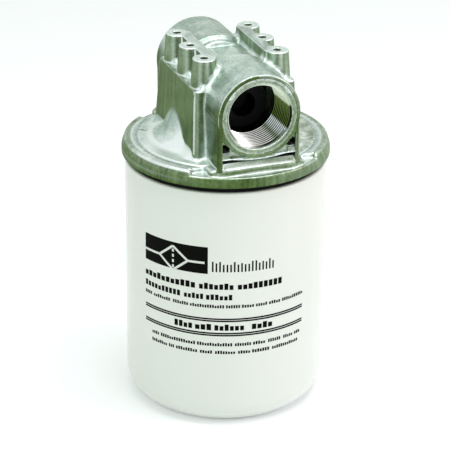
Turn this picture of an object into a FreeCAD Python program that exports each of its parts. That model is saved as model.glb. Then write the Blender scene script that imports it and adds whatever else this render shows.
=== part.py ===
import FreeCAD, Part
import math
import os
import re

# Spin-on hydraulic filter: a die-cast head with two in-line pipe ports, standing on its screwed-on can.
# Origin: centre of the can's bottom face. +Z is up, the ports lie along Y and the inlet faces -Y.
# Every length is in millimetres and every angle in degrees.

os.makedirs("parts", exist_ok=True)
doc = FreeCAD.newDocument("hydraulic_filter")
sheet = doc.addObject("Spreadsheet::Sheet", "sizes")

SIZES = {
    # can, drawn from steel sheet, with the retainer rolled into its rim
    "can_radius": 64.5,
    "can_wall": 1.0,
    "can_top": 163.5,
    "can_corner": 16.3,
    "foot_ring_width": 12.2,
    "foot_inner_radius": "=can_radius - can_corner - foot_ring_width",
    "foot_recess": 3.0,
    "foot_slope_width": 3.0,
    "seam_width": 2.6,
    "seam_depth": 3.0,
    "seam_round": 1.1,
    # retainer with the gasket groove
    "retainer_thickness": 1.0,
    "groove_depth": 3.1,
    "gasket_inset": 3.9,
    "gasket_width": 6.6,
    "gasket_outer_radius": "=can_radius - gasket_inset",
    "gasket_inner_radius": "=gasket_outer_radius - gasket_width",
    "gasket_side_gap": 0.3,
    "gasket_stand": 3.94,
    "retainer_lip": 2.0,
    # tapping plate and its nipple
    "plate_thickness": 8.0,
    "plate_side_gap": 0.2,
    "inlet_hole_radius": 6.0,
    "inlet_hole_circle": 36.0,
    "inlet_hole_count": 8,
    "nipple_radius": 19.05,
    "nipple_bore_radius": 15.2,
    "nipple_chamfer": 1.2,
    "thread_gap": 0.08,
    "neck_height": 1.5,
    "neck_wall": 4.5,
    "nipple_drop": 0.0,
    "nipple_reach": 18.0,
    # filter element
    "element_bottom": 14.5,
    "element_top": 142.2,
    "cap_thickness": 0.8,
    "cap_skirt": 6.0,
    "element_side_gap": 9.0,
    "cap_radius": "=can_radius - element_side_gap",
    "media_side_gap": 1.3,
    "media_outer_radius": "=cap_radius - media_side_gap",
    "media_inner_radius": 25.0,
    "media_thickness": 1.3,
    "pleat_count": 40,
    "band_width": 3.0,
    "band_thickness": 0.5,
    "centre_tube_radius": 22.5,
    "centre_tube_wall": 1.0,
    "tube_slot_length": 12.0,
    "tube_slot_width": 5.0,
    "tube_slot_rows": 5,
    "tube_slot_columns": 6,
    "grommet_outer_radius": 25.5,
    "grommet_gap": 0.25,
    "grommet_squeeze_gap": 0.3,
    "leaf_thickness": 0.9,
    "leaf_width": 11.0,
    "leaf_hub_radius": 14.0,
    "leaf_corner_gap": 3.2,
    "leaf_foot_radius": "=can_radius - can_corner - leaf_corner_gap",
    "leaf_foot_length": 5.0,
    # head: flange and shoulder
    "flange_overhang": 1.8,
    "flange_radius": "=can_radius + flange_overhang",
    "flange_thickness": 6.46,
    "flange_band": 4.0,
    "flange_draft": 0.9,
    "rim_thickness": 9.8,
    "rim_inset": 1.7,
    "rim_width": 3.3,
    "ring_recess_width": 4.8,
    "rim_top_radius": "=flange_radius - rim_inset",
    "rim_inner_radius": "=rim_top_radius - rim_width",
    "plateau_radius": "=rim_inner_radius - ring_recess_width",
    "plateau_thickness": 10.5,
    "ring_recess_thickness": 9.3,
    "rim_cut_half_width": 40.6,
    "rim_cut_reach": 46.0,
    "shoulder_set_back": 8.5,
    "shoulder_low_radius": "=plateau_radius - shoulder_set_back",
    "shoulder_mid_radius": 39.8,
    "shoulder_top_radius": 34.4,
    "shoulder_mid_height": 17.0,
    "shoulder_top_height": 30.5,
    # head: ports, barrel and block
    "port_height": 43.36,
    "port_reach": 59.6,
    "port_bore_radius": 20.0,
    "port_mouth_radius": 21.4,
    "port_mouth_depth": 1.6,
    "port_wall_length": 26.0,
    "port_relief": 0.8,
    "port_relief_length": 4.4,
    "barrel_radius": 26.7,
    "barrel_round": 2.3,
    "slab_set_back": 0.4,
    "slab_reach": "=port_reach - slab_set_back",
    "slab_corner": 2.2,
    "saddle_height": 64.7,
    "saddle_half_length": 14.0,
    "saddle_slope_length": 6.0,
    "block_low_half_width": 35.2,
    "block_high_half_width": 33.0,
    "block_low_half_depth": 39.3,
    "block_high_half_depth": 34.5,
    "block_height": 54.3,
    "block_corner": 3.0,
    "block_top_round": 3.2,
    # head: mounting bosses
    "boss_top_height": 72.4,
    "boss_radius": 7.1,
    "boss_chamfer": 0.6,
    "boss_row_half_spacing": 24.0,
    "boss_pitch": 25.4,
    "boss_flare": 1.6,
    "boss_hole_radius": 2.55,
    "boss_hole_depth": 16.0,
    "row_rib_thickness": 4.0,
    "boss_foot_height": 54.0,
    # head: pockets under each port ring
    "leg_thickness": 3.4,
    "pocket_floor_height": 16.7,
    "pocket_height": 15.0,
    "pocket_depth": 12.0,
    "pocket_inner_half_width": 12.0,
    "slot_floor_height": 11.2,
    "slot_height": 4.2,
    "slot_depth": 12.0,
    "finger_height": 2.4,
    "finger_length": 4.2,
    "finger_lift": 1.6,
    # head: passages
    "annulus_inner_radius": 25.0,
    "annulus_low_radius": 43.0,
    "annulus_high_radius": 31.0,
    "annulus_height": 19.5,
    "chamber_low_radius": 41.0,
    "chamber_high_radius": 34.5,
    "chamber_half_width": 27.8,
    "chamber_top_height": 60.0,
    "chamber_shoulder_height": 49.5,
    "chamber_roof_radius": 22.4,
    "chamber_back": 6.0,
    "outlet_duct_radius": 17.6,
    "tower_bore_radius": 18.6,
    "tower_bore_top_height": 58.6,
    "hub_recess": 1.0,
    # bypass valve in the wall between inlet and outlet
    "valve_height": 41.0,
    "valve_pad_radius": 16.5,
    "valve_pad_reach": 28.0,
    "valve_hole_radius": 12.0,
    "valve_body_gap": 0.05,
    "valve_flange_radius": 14.8,
    "valve_flange_thickness": 2.4,
    "valve_seat_radius": 8.0,
    "valve_barrel_end": 16.4,
    "poppet_radius": 9.6,
    "poppet_thickness": 2.4,
    "stem_radius": 2.2,
    "stem_guide_gap": 0.08,
    "seal_radius": 9.3,
    "seal_thickness": 1.2,
    "valve_cage_end": 1.5,
    "valve_cage_inner_radius": 10.2,
    "cage_end_thickness": 2.0,
    "valve_rib_width": 3.4,
    "valve_spring_radius": 6.2,
    "valve_wire_radius": 0.6,
    "valve_spring_turns": 3,
    "valve_ring_section": 0.9,
    "valve_ring_offset": 1.2,
    "valve_ring_gap": 0.05,
    # room that pieces keep where a face of one would only just touch another
    "seat_gap": 0.02,
}

for row, alias in enumerate(SIZES, start=1):
    sheet.set("A%d" % row, alias)
    sheet.setAlias("B%d" % row, alias)
for row, number in enumerate(SIZES.values(), start=1):
    sheet.set("B%d" % row, str(number))
doc.recompute()

NEST = []


def size(alias):
    """One driving dimension, read back from the sheet."""
    return float(sheet.get(alias))


def bound(text):
    """An expression with the sheet's name in front of every alias."""
    return re.sub(r"[a-z_]+", lambda m: "sizes." + m.group(0) if m.group(0) in SIZES else m.group(0), text)


def bind(obj, bindings):
    for prop, text in bindings.items():
        obj.setExpression(prop, bound(text))


# heights that several pieces share
HEAD_FOOT = "(can_top + gasket_stand)"
GROOVE_FLOOR = "(can_top - groove_depth)"
PLATE_TOP = "(can_top - groove_depth - retainer_thickness)"
PLATE_FOOT = "(can_top - groove_depth - retainer_thickness - plate_thickness)"
PORT_AXIS = "(can_top + gasket_stand + port_height)"
VALVE_AXIS = "(can_top + gasket_stand + valve_height)"

TO_Y = FreeCAD.Rotation(FreeCAD.Vector(1, 0, 0), -90)


def upright(name, radius, foot, height, x="0", y="0"):
    """A cylinder that stands along Z."""
    body = doc.addObject("Part::Cylinder", name)
    bind(body, {"Radius": radius, "Height": height, "Placement.Base.x": x, "Placement.Base.y": y,
                "Placement.Base.z": foot})
    return body


def lying(name, radius, start, length, axis_height):
    """A cylinder that lies along Y from start."""
    body = doc.addObject("Part::Cylinder", name)
    body.Placement.Rotation = TO_Y
    bind(body, {"Radius": radius, "Height": length, "Placement.Base.y": start, "Placement.Base.z": axis_height})
    return body


def cone(name, foot_radius, top_radius, foot, height, x="0", y="0"):
    """A cone frustum that stands along Z."""
    body = doc.addObject("Part::Cone", name)
    bind(body, {"Radius1": foot_radius, "Radius2": top_radius, "Height": height,
                "Placement.Base.x": x, "Placement.Base.y": y, "Placement.Base.z": foot})
    return body


def lying_cone(name, start_radius, end_radius, start, length, axis_height):
    """A cone frustum that lies along Y from start."""
    body = doc.addObject("Part::Cone", name)
    body.Placement.Rotation = TO_Y
    bind(body, {"Radius1": start_radius, "Radius2": end_radius, "Height": length,
                "Placement.Base.y": start, "Placement.Base.z": axis_height})
    return body


def box(name, x, y, z, length, width, height):
    """A box from its low corner."""
    body = doc.addObject("Part::Box", name)
    bind(body, {"Length": length, "Width": width, "Height": height,
                "Placement.Base.x": x, "Placement.Base.y": y, "Placement.Base.z": z})
    return body


def fuse(name, pieces):
    body = doc.addObject("Part::MultiFuse", name)
    body.Shapes = pieces
    body.Refine = True
    return body


def cut(name, base, tools):
    body = doc.addObject("Part::Cut", name)
    body.Base = base
    body.Tool = tools[0] if len(tools) == 1 else fuse(name + "_tools", tools)
    body.Refine = True
    return body


def common(name, first, second):
    body = doc.addObject("Part::Common", name)
    body.Base = first
    body.Tool = second
    body.Refine = True
    return body


def rounded(name, base, radius_alias, wanted):
    """A fillet on the edges of base for which wanted(edge) is true."""
    doc.recompute()
    body = doc.addObject("Part::Fillet", name)
    body.Base = base
    radius = size(radius_alias)
    body.Edges = [(i, radius, radius) for i, edge in enumerate(base.Shape.Edges, start=1) if wanted(edge)]
    return body


def upright_edge(edge):
    """True for an edge that climbs, as the corners of a block do."""
    span = edge.BoundBox
    return span.ZLength > 3 * (span.XLength + span.YLength)


def steep_edge(edge):
    """True for the leaning corner of a tapered block."""
    span = edge.BoundBox
    return span.ZLength > span.XLength + span.YLength


def edge_at_height(height):
    """A test for level edges at one height."""
    return lambda edge: edge.BoundBox.ZLength < 0.01 and abs(edge.BoundBox.ZMin - height) < 0.01


def origin_plane(body, role):
    return next(f for f in body.Origin.OriginFeatures if f.Role == role)


def profile(body, name, points, plane="XZ_Plane"):
    """A closed sketch whose corners are tied to the sheet; each point is a pair of expressions."""
    sketch = body.newObject("Sketcher::SketchObject", name)
    sketch.AttachmentSupport = [(origin_plane(body, plane), "")]
    sketch.MapMode = "FlatFace"
    places = []
    for across, up in points:
        values = [eval_size(text) for text in (across, up)]
        places.append(FreeCAD.Vector(values[0], values[1], 0))
    count = len(points)
    for i in range(count):
        sketch.addGeometry(Part.LineSegment(places[i], places[(i + 1) % count]), False)
    for i in range(count):
        sketch.addConstraint(constraint("Coincident", i, 2, (i + 1) % count, 1))
    for i, (across, up) in enumerate(points):
        tie(sketch, i, "DistanceX", -2, across, places[i].x, "across%d" % i)
        tie(sketch, i, "DistanceY", -1, up, places[i].y, "up%d" % i)
    return sketch


def constraint(kind, *values):
    import Sketcher
    return Sketcher.Constraint(kind, *values)


def tie(sketch, line, kind, axis, text, number, name):
    """Hold the start point of one line at a distance from the sketch's origin."""
    if abs(number) < 1e-9:
        sketch.addConstraint(constraint("PointOnObject", line, 1, axis))
        return
    index = sketch.addConstraint(constraint(kind, -1, 1, line, 1, number))
    sketch.renameConstraint(index, name)
    sketch.setExpression("Constraints." + name, bound(text))


def eval_size(text):
    """The present value of an expression in the sheet's aliases."""
    value = sheet.evalExpression(bound(text))
    return float(getattr(value, "Value", value))


def turned(name, points):
    """A solid of revolution about Z from a profile of (radius, height) pairs."""
    body = doc.addObject("PartDesign::Body", name)
    sketch = profile(body, name + "_profile", points)
    turn = body.newObject("PartDesign::Revolution", name + "_turn")
    turn.Profile = sketch
    turn.ReferenceAxis = (sketch, ["V_Axis"])
    turn.Angle = 360
    sketch.Visibility = False
    doc.recompute()
    return body


def softened(body, radius_alias, places):
    """Fillet the round edges of a turned body that lie at (radius, height) places."""
    base = body.Tip
    picked = []
    for i, edge in enumerate(base.Shape.Edges, start=1):
        span = edge.BoundBox
        reach = max(abs(span.XMin), abs(span.XMax))
        for radius, height in places:
            if abs(reach - radius) < 0.01 and abs(span.ZMin - height) < 0.01 and span.ZLength < 0.01:
                picked.append("Edge%d" % i)
    fillet = body.newObject("PartDesign::Fillet", body.Name + "_round_" + radius_alias)
    fillet.Base = (base, picked)
    fillet.setExpression("Radius", bound(radius_alias))
    doc.recompute()
    return body


def named(obj, label):
    """Mark an object as one finished piece."""
    obj.Label = label
    NEST.append(obj)
    return obj


# Can shell: deep-drawn steel with a standing ring round its recessed bottom and a rolled seam at its rim.
def make_can_shell():
    inner = "can_radius - can_wall"
    step = "foot_inner_radius - foot_slope_width"
    body = turned("can_shell_body", [
        ("0", "foot_recess"), (step, "foot_recess"), ("foot_inner_radius", "0"), ("can_radius", "0"),
        ("can_radius", "can_top"), ("can_radius - seam_width", "can_top"),
        ("can_radius - seam_width", "can_top - seam_depth"), (inner, "can_top - seam_depth"),
        (inner, "can_wall"), ("foot_inner_radius + can_wall / 2", "can_wall"),
        (step + " + can_wall / 2", "foot_recess + can_wall"), ("0", "foot_recess + can_wall"),
    ])
    softened(body, "can_corner", [(size("can_radius"), 0.0)])
    body = soften_inside(body)
    softened(body, "seam_round", [(size("can_radius"), size("can_top"))])
    return named(body, "can_shell")


def soften_inside(body):
    """The inside of the can's bottom corner follows the outside at the sheet's thickness."""
    base = body.Tip
    radius = size("can_radius") - size("can_wall")
    picked = []
    for i, edge in enumerate(base.Shape.Edges, start=1):
        span = edge.BoundBox
        level = span.ZLength < 0.01 and abs(span.ZMin - size("can_wall")) < 0.01
        if level and abs(span.XMax - radius) < 0.01:
            picked.append("Edge%d" % i)
    fillet = body.newObject("PartDesign::Fillet", "can_shell_inner_corner")
    fillet.Base = (base, picked)
    fillet.setExpression("Radius", bound("can_corner - can_wall"))
    doc.recompute()
    return body


# Seal retainer: thin pressed lid that holds the gasket in a groove and rests on the tapping plate.
def make_seal_retainer():
    outer = "can_radius - seam_width"
    wall_in = "gasket_outer_radius + gasket_side_gap"
    lip_in = "gasket_inner_radius - gasket_side_gap - retainer_thickness"
    return named(turned("seal_retainer_body", [
        (lip_in, PLATE_TOP), (outer, PLATE_TOP), (outer, "can_top"), (wall_in, "can_top"),
        (wall_in, GROOVE_FLOOR), ("gasket_inner_radius - gasket_side_gap", GROOVE_FLOOR),
        ("gasket_inner_radius - gasket_side_gap", GROOVE_FLOOR + " + retainer_lip"),
        (lip_in, GROOVE_FLOOR + " + retainer_lip"),
    ]), "seal_retainer")


# Gasket: square-cut nitrile ring that the flange presses on.
def make_can_gasket():
    return named(turned("can_gasket_body", [
        ("gasket_inner_radius", GROOVE_FLOOR), ("gasket_outer_radius", GROOVE_FLOOR),
        ("gasket_outer_radius", HEAD_FOOT), ("gasket_inner_radius", HEAD_FOOT),
    ]), "can_gasket")


# Tapping plate: thick steel plate with the can's thread in its neck and a ring of inlet holes.
def make_tapping_plate():
    thread = "nipple_radius + thread_gap"
    blank = turned("tapping_plate_blank", [
        (thread, PLATE_FOOT), ("can_radius - can_wall - plate_side_gap", PLATE_FOOT),
        ("can_radius - can_wall - plate_side_gap", PLATE_TOP), (thread + " + neck_wall", PLATE_TOP),
        (thread + " + neck_wall", PLATE_TOP + " + neck_height"), (thread, PLATE_TOP + " + neck_height"),
    ])
    holes = []
    count = int(size("inlet_hole_count"))
    for i in range(count):
        turn = "%d * 360 / inlet_hole_count" % i
        holes.append(upright("inlet_hole_%d" % i, "inlet_hole_radius", PLATE_FOOT + " - 1",
                             "plate_thickness + 2", "inlet_hole_circle * cos(%s)" % turn,
                             "inlet_hole_circle * sin(%s)" % turn))
    return named(cut("tapping_plate_drilled", blank, holes), "tapping_plate")


# Nipple: steel tube screwed into the head, which carries the can.
def make_threaded_nipple():
    foot = PLATE_FOOT + " - nipple_drop"
    top = HEAD_FOOT + " + nipple_reach"
    slim = "nipple_radius - nipple_chamfer"
    return named(turned("threaded_nipple_body", [
        ("nipple_bore_radius", foot), (slim, foot), ("nipple_radius", foot + " + nipple_chamfer"),
        ("nipple_radius", top + " - nipple_chamfer"), (slim, top), ("nipple_bore_radius", top),
    ]), "threaded_nipple")


# Element caps: pressed steel cups glued over both ends of the pleats.
def make_upper_end_cap():
    hole = "grommet_outer_radius - 2.4"
    return named(turned("upper_end_cap_body", [
        (hole, "element_top - cap_thickness"), ("cap_radius - cap_thickness", "element_top - cap_thickness"),
        ("cap_radius - cap_thickness", "element_top - cap_skirt"), ("cap_radius", "element_top - cap_skirt"),
        ("cap_radius", "element_top"), (hole, "element_top"),
    ]), "upper_end_cap")


def make_lower_end_cap():
    return named(turned("lower_end_cap_body", [
        ("0", "element_bottom"), ("cap_radius", "element_bottom"), ("cap_radius", "element_bottom + cap_skirt"),
        ("cap_radius - cap_thickness", "element_bottom + cap_skirt"),
        ("cap_radius - cap_thickness", "element_bottom + cap_thickness"),
        ("0", "element_bottom + cap_thickness"),
    ]), "lower_end_cap")


# Grommet: rubber ring that seals the element to the nipple under the tapping plate.
def make_element_grommet():
    bore = "nipple_radius + grommet_gap"
    lip = "grommet_outer_radius - 2.4 - seat_gap"
    plug = "centre_tube_radius - centre_tube_wall - seat_gap"
    return named(turned("element_grommet_body", [
        (bore, "element_top - 2.6"), (plug, "element_top - 2.6"), (plug, "element_top - cap_thickness"),
        (lip, "element_top - cap_thickness"), (lip, "element_top"),
        ("grommet_outer_radius", "element_top"), ("grommet_outer_radius", PLATE_FOOT + " - grommet_squeeze_gap"),
        (bore, PLATE_FOOT + " - grommet_squeeze_gap"),
    ]), "element_grommet")


# Pleated media: one folded sheet, closed to a ring.
def make_pleated_media():
    count = int(size("pleat_count"))
    outer = size("media_outer_radius")
    inner = size("media_inner_radius")
    thick = size("media_thickness")
    foot = size("element_bottom") + size("cap_thickness")
    height = size("element_top") - size("cap_thickness") - foot
    half_fold = math.pi / count
    # a crest is two sheets wide outside and one inside, and a valley the other way round, as far as there is room
    widest = 0.45 * half_fold
    outer_half = math.asin(min(widest, thick / outer))
    inner_half = math.asin(min(widest, thick / inner))
    outside, inside = [], []
    for i in range(count):
        crest = 2 * half_fold * i
        valley = crest + half_fold
        outside += [(outer, crest - outer_half), (outer, crest + outer_half)]
        outside += [(inner + thick, valley - inner_half / 2), (inner + thick, valley + inner_half / 2)]
        inside += [(outer - thick, crest - outer_half / 3), (outer - thick, crest + outer_half / 3)]
        inside += [(inner, valley - inner_half), (inner, valley + inner_half)]

    def loop(corners):
        points = [FreeCAD.Vector(r * math.cos(a), r * math.sin(a), foot) for r, a in corners]
        return Part.Wire(Part.makePolygon(points + points[:1]))

    sheet_face = Part.makeFace([loop(outside), loop(inside)], "Part::FaceMakerBullseye")
    body = doc.addObject("Part::Feature", "pleated_media_body")
    body.Shape = sheet_face.extrude(FreeCAD.Vector(0, 0, height))
    return named(body, "pleated_media")


# Bands: three narrow glued strips that keep the pleats evenly spaced.
def make_pleat_bands():
    span = "(element_top - element_bottom)"
    for i in (1, 2, 3):
        middle = "element_bottom + %d * %s / 4" % (i, span)
        named(turned("pleat_band_%d_body" % i, [
            ("media_outer_radius + seat_gap", middle + " - band_width / 2"),
            ("media_outer_radius + seat_gap + band_thickness", middle + " - band_width / 2"),
            ("media_outer_radius + seat_gap + band_thickness", middle + " + band_width / 2"),
            ("media_outer_radius + seat_gap", middle + " + band_width / 2"),
        ]), "pleat_band_%d" % i)


# Centre tube: slotted steel tube that holds the pleats open against the pressure.
def make_centre_tube():
    foot = "element_bottom + cap_thickness"
    length = "(element_top - element_bottom - 2 * cap_thickness)"
    tube = cut("centre_tube_plain", upright("centre_tube_outside", "centre_tube_radius", foot, length),
               [upright("centre_tube_inside", "centre_tube_radius - centre_tube_wall", foot, length)])
    slots = []
    rows = int(size("tube_slot_rows"))
    columns = int(size("tube_slot_columns"))
    for row in range(rows):
        middle = "%s + %d * %s / %d" % (foot, 2 * row + 1, length, 2 * rows)
        for column in range(columns // 2):
            slot = doc.addObject("Part::Box", "tube_slot_%d_%d" % (row, column))
            angle = 360.0 / columns * (column + 0.5 * (row % 2))
            slot.Placement.Rotation = FreeCAD.Rotation(FreeCAD.Vector(0, 0, 1), angle)
            shift = "tube_slot_width / 2"
            bind(slot, {
                "Length": "2 * centre_tube_radius + 2", "Width": "tube_slot_width", "Height": "tube_slot_length",
                "Placement.Base.x": "-(centre_tube_radius + 1) * cos(%.6f) + %s * sin(%.6f)" % (angle, shift, angle),
                "Placement.Base.y": "-(centre_tube_radius + 1) * sin(%.6f) - %s * cos(%.6f)" % (angle, shift, angle),
                "Placement.Base.z": middle + " - tube_slot_length / 2",
            })
            slots.append(slot)
    return named(cut("centre_tube_slotted", tube, slots), "centre_tube")


# Element spring: stamped leaf spring that pushes the element up against the tapping plate.
def make_element_spring():
    body = doc.addObject("PartDesign::Body", "element_spring_body")
    hub_foot = "element_bottom - leaf_thickness - seat_gap"
    rest = "can_wall + seat_gap"
    knee = "leaf_foot_radius - leaf_foot_length"
    leg = profile(body, "leaf_leg_profile", [
        ("0", hub_foot), ("leaf_hub_radius", hub_foot), (knee, rest), ("leaf_foot_radius", rest),
        ("leaf_foot_radius", rest + " + leaf_thickness"), (knee + " + 0.4", rest + " + leaf_thickness"),
        ("leaf_hub_radius + 0.4", hub_foot + " + leaf_thickness"), ("0", hub_foot + " + leaf_thickness"),
    ])
    pad = body.newObject("PartDesign::Pad", "leaf_leg")
    pad.Profile = leg
    pad.SideType = "Symmetric"
    pad.setExpression("Length", bound("leaf_width"))
    doc.recompute()
    ring = body.newObject("PartDesign::PolarPattern", "leaf_legs")
    ring.Originals = [pad]
    ring.Axis = (leg, ["V_Axis"])
    ring.Angle = 360
    ring.Occurrences = 4
    body.Tip = ring
    doc.recompute()
    return named(body, "element_spring")


# Filter head: one aluminium die casting. The outside is built up first and the passages are cut after it.
def make_filter_head():
    foot = HEAD_FOOT
    drafted = "flange_radius - flange_draft"
    flange = turned("flange_disc", [
        ("0", foot), ("flange_radius", foot), ("flange_radius", foot + " + flange_band"),
        (drafted, foot + " + flange_thickness"), ("0", foot + " + flange_thickness"),
    ])
    rim = turned("flange_rim", [
        ("0", foot + " + flange_band"), ("flange_radius - 0.4", foot + " + flange_band"),
        ("rim_top_radius + 0.8", foot + " + rim_thickness - 1.2"), ("rim_top_radius", foot + " + rim_thickness"),
        ("rim_inner_radius", foot + " + rim_thickness"),
        ("rim_inner_radius - 0.8", foot + " + ring_recess_thickness"),
        ("plateau_radius + 0.6", foot + " + ring_recess_thickness"),
        ("plateau_radius - 0.6", foot + " + plateau_thickness"), ("0", foot + " + plateau_thickness"),
    ])
    notch_span = "2 * rim_cut_half_width"
    notches = [
        box("rim_notch_front", "-rim_cut_half_width", "-2 * flange_radius", foot + " + flange_thickness",
            notch_span, "2 * flange_radius - rim_cut_reach", "plateau_thickness"),
        box("rim_notch_back", "-rim_cut_half_width", "rim_cut_reach", foot + " + flange_thickness",
            notch_span, "2 * flange_radius - rim_cut_reach", "plateau_thickness"),
    ]
    rim = cut("flange_rim_notched", rim, notches)
    shoulder_foot = foot + " + plateau_thickness"
    shoulder = [
        cone("shoulder_flare", "shoulder_low_radius", "shoulder_mid_radius", shoulder_foot,
             "shoulder_mid_height - plateau_thickness"),
        cone("shoulder_cone", "shoulder_mid_radius", "shoulder_top_radius", foot + " + shoulder_mid_height",
             "shoulder_top_height - shoulder_mid_height"),
    ]
    outside = fuse("head_outside", [flange, rim] + shoulder + [make_block(), make_barrel(), make_slab()]
                   + make_bosses())
    saddled = cut("head_saddled", outside, [make_saddle()])
    pieces = fuse("head_with_bosses", [saddled] + make_boss_rows())
    passages = make_passages() + make_pockets() + make_boss_holes()
    return named(cut("filter_head_machined", pieces, passages), "filter_head")


def make_block():
    """The tapered box round the inlet chamber that carries the bosses."""
    block = doc.addObject("Part::Wedge", "block_taper")
    block.Placement.Rotation = FreeCAD.Rotation(FreeCAD.Vector(1, 0, 0), 90)
    bind(block, {
        "Xmin": "-block_low_half_width", "Xmax": "block_low_half_width",
        "Zmin": "-block_low_half_depth", "Zmax": "block_low_half_depth", "Ymin": "0",
        "Ymax": "block_height - plateau_thickness",
        "X2min": "-block_high_half_width", "X2max": "block_high_half_width",
        "Z2min": "-block_high_half_depth", "Z2max": "block_high_half_depth",
        "Placement.Base.z": HEAD_FOOT + " + plateau_thickness",
    })
    cornered = rounded("block_cornered", block, "block_corner", steep_edge)
    doc.recompute()
    top = size("can_top") + size("gasket_stand") + size("block_height")
    return rounded("block_rounded", cornered, "block_top_round", edge_at_height(top))


def make_barrel():
    """The round body along Y that holds both ports, with its rims rounded."""
    barrel = lying("barrel_round_bar", "barrel_radius", "-port_reach", "2 * port_reach", PORT_AXIS)
    return rounded("barrel_rounded", barrel, "barrel_round", lambda edge: edge.BoundBox.YLength < 0.01)


def make_slab():
    """The straight-sided wall that joins the barrel to the flange."""
    slab = box("slab_plain", "-barrel_radius", "-slab_reach", HEAD_FOOT + " + flange_thickness - 1",
               "2 * barrel_radius", "2 * slab_reach", "port_height - flange_thickness + 1")
    return rounded("slab_rounded", slab, "slab_corner", upright_edge)


def make_saddle():
    """The hollow across the top, between the boss rows, where the barrel necks in."""
    body = doc.addObject("PartDesign::Body", "saddle")
    low = HEAD_FOOT + " + saddle_height"
    high = HEAD_FOOT + " + boss_top_height"
    reach = "(saddle_half_length + saddle_slope_length * (boss_top_height - saddle_height) / " \
            "(port_height + barrel_radius - saddle_height))"
    sketch = profile(body, "saddle_profile", [
        ("-saddle_half_length", low), ("saddle_half_length", low), (reach, high), ("-" + reach, high),
    ], "YZ_Plane")
    pad = body.newObject("PartDesign::Pad", "saddle_pad")
    pad.Profile = sketch
    pad.SideType = "Symmetric"
    pad.setExpression("Length", bound("2 * (boss_row_half_spacing - boss_radius)"))
    doc.recompute()
    return body


def boss_places():
    return [(side, step) for side in (-1, 1) for step in (-1, 0, 1)]


def make_bosses():
    """The flared feet of the bosses, which stand on the block."""
    feet = []
    for side, step in boss_places():
        x = "%d * boss_row_half_spacing" % side
        y = "%d * boss_pitch" % step
        feet.append(cone("boss_foot_%d_%d" % (side + 1, step + 1), "boss_radius + boss_flare", "boss_radius",
                         HEAD_FOOT + " + boss_foot_height - 1", "boss_flare + 1", x, y))
    return feet


def make_boss_rows():
    """Six bosses in two rows, each row joined by a rib along its inner side."""
    pieces = []
    low = HEAD_FOOT + " + boss_foot_height - 2"
    for side, step in boss_places():
        x = "%d * boss_row_half_spacing" % side
        y = "%d * boss_pitch" % step
        tag = "%d_%d" % (side + 1, step + 1)
        pieces.append(upright("boss_" + tag, "boss_radius", low,
                              "boss_top_height - boss_chamfer - boss_foot_height + 2", x, y))
        pieces.append(cone("boss_tip_" + tag, "boss_radius", "boss_radius - boss_chamfer",
                           HEAD_FOOT + " + boss_top_height - boss_chamfer", "boss_chamfer", x, y))
    inner = "boss_row_half_spacing - boss_radius"
    for side, x in ((0, "-(%s) - row_rib_thickness" % inner), (1, inner)):
        pieces.append(box("row_rib_%d" % side, x, "-boss_pitch", low, "row_rib_thickness", "2 * boss_pitch",
                          "boss_top_height - boss_foot_height + 2"))
    return pieces


def make_boss_holes():
    """Blind tapped holes in the boss tops."""
    holes = []
    for side, step in boss_places():
        holes.append(upright("boss_hole_%d_%d" % (side + 1, step + 1), "boss_hole_radius",
                             HEAD_FOOT + " + boss_top_height - boss_hole_depth", "boss_hole_depth + 1",
                             "%d * boss_row_half_spacing" % side, "%d * boss_pitch" % step))
    return holes


def make_pockets():
    """Cast pockets under each port ring: two corners beside the ring and one low slot, with a rib at one side."""
    leg_inside = "(barrel_radius - leg_thickness)"
    tools = []
    for end, near in (("front", -1), ("back", 1)):
        y = "-slab_reach - 2" if near < 0 else "slab_reach - pocket_depth"
        for side in (-1, 1):
            x = "-" + leg_inside if side < 0 else "pocket_inner_half_width"
            corner = box("pocket_%s_%d" % (end, side + 1), x, y, HEAD_FOOT + " + pocket_floor_height",
                         leg_inside + " - pocket_inner_half_width", "pocket_depth + 2", "pocket_height")
            ring = lying("pocket_ring_%s_%d" % (end, side + 1), "barrel_radius", "-port_reach - 2",
                         "2 * port_reach + 4", PORT_AXIS)
            shaped = cut("pocket_corner_%s_%d" % (end, side + 1), corner, [ring])
            if side * near < 0:
                finger_x = leg_inside + " - finger_length" if side > 0 else "-" + leg_inside
                finger = box("pocket_finger_%s" % end, finger_x, y,
                             HEAD_FOOT + " + pocket_floor_height + finger_lift", "finger_length",
                             "pocket_depth + 2", "finger_height")
                shaped = cut("pocket_fingered_%s" % end, shaped, [finger])
            tools.append(shaped)
        slot_y = "-slab_reach - 2" if near < 0 else "slab_reach - slot_depth"
        tools.append(box("slot_" + end, "-" + leg_inside, slot_y, HEAD_FOOT + " + slot_floor_height",
                         "2 * " + leg_inside, "slot_depth + 2", "slot_height"))
    return tools


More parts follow.
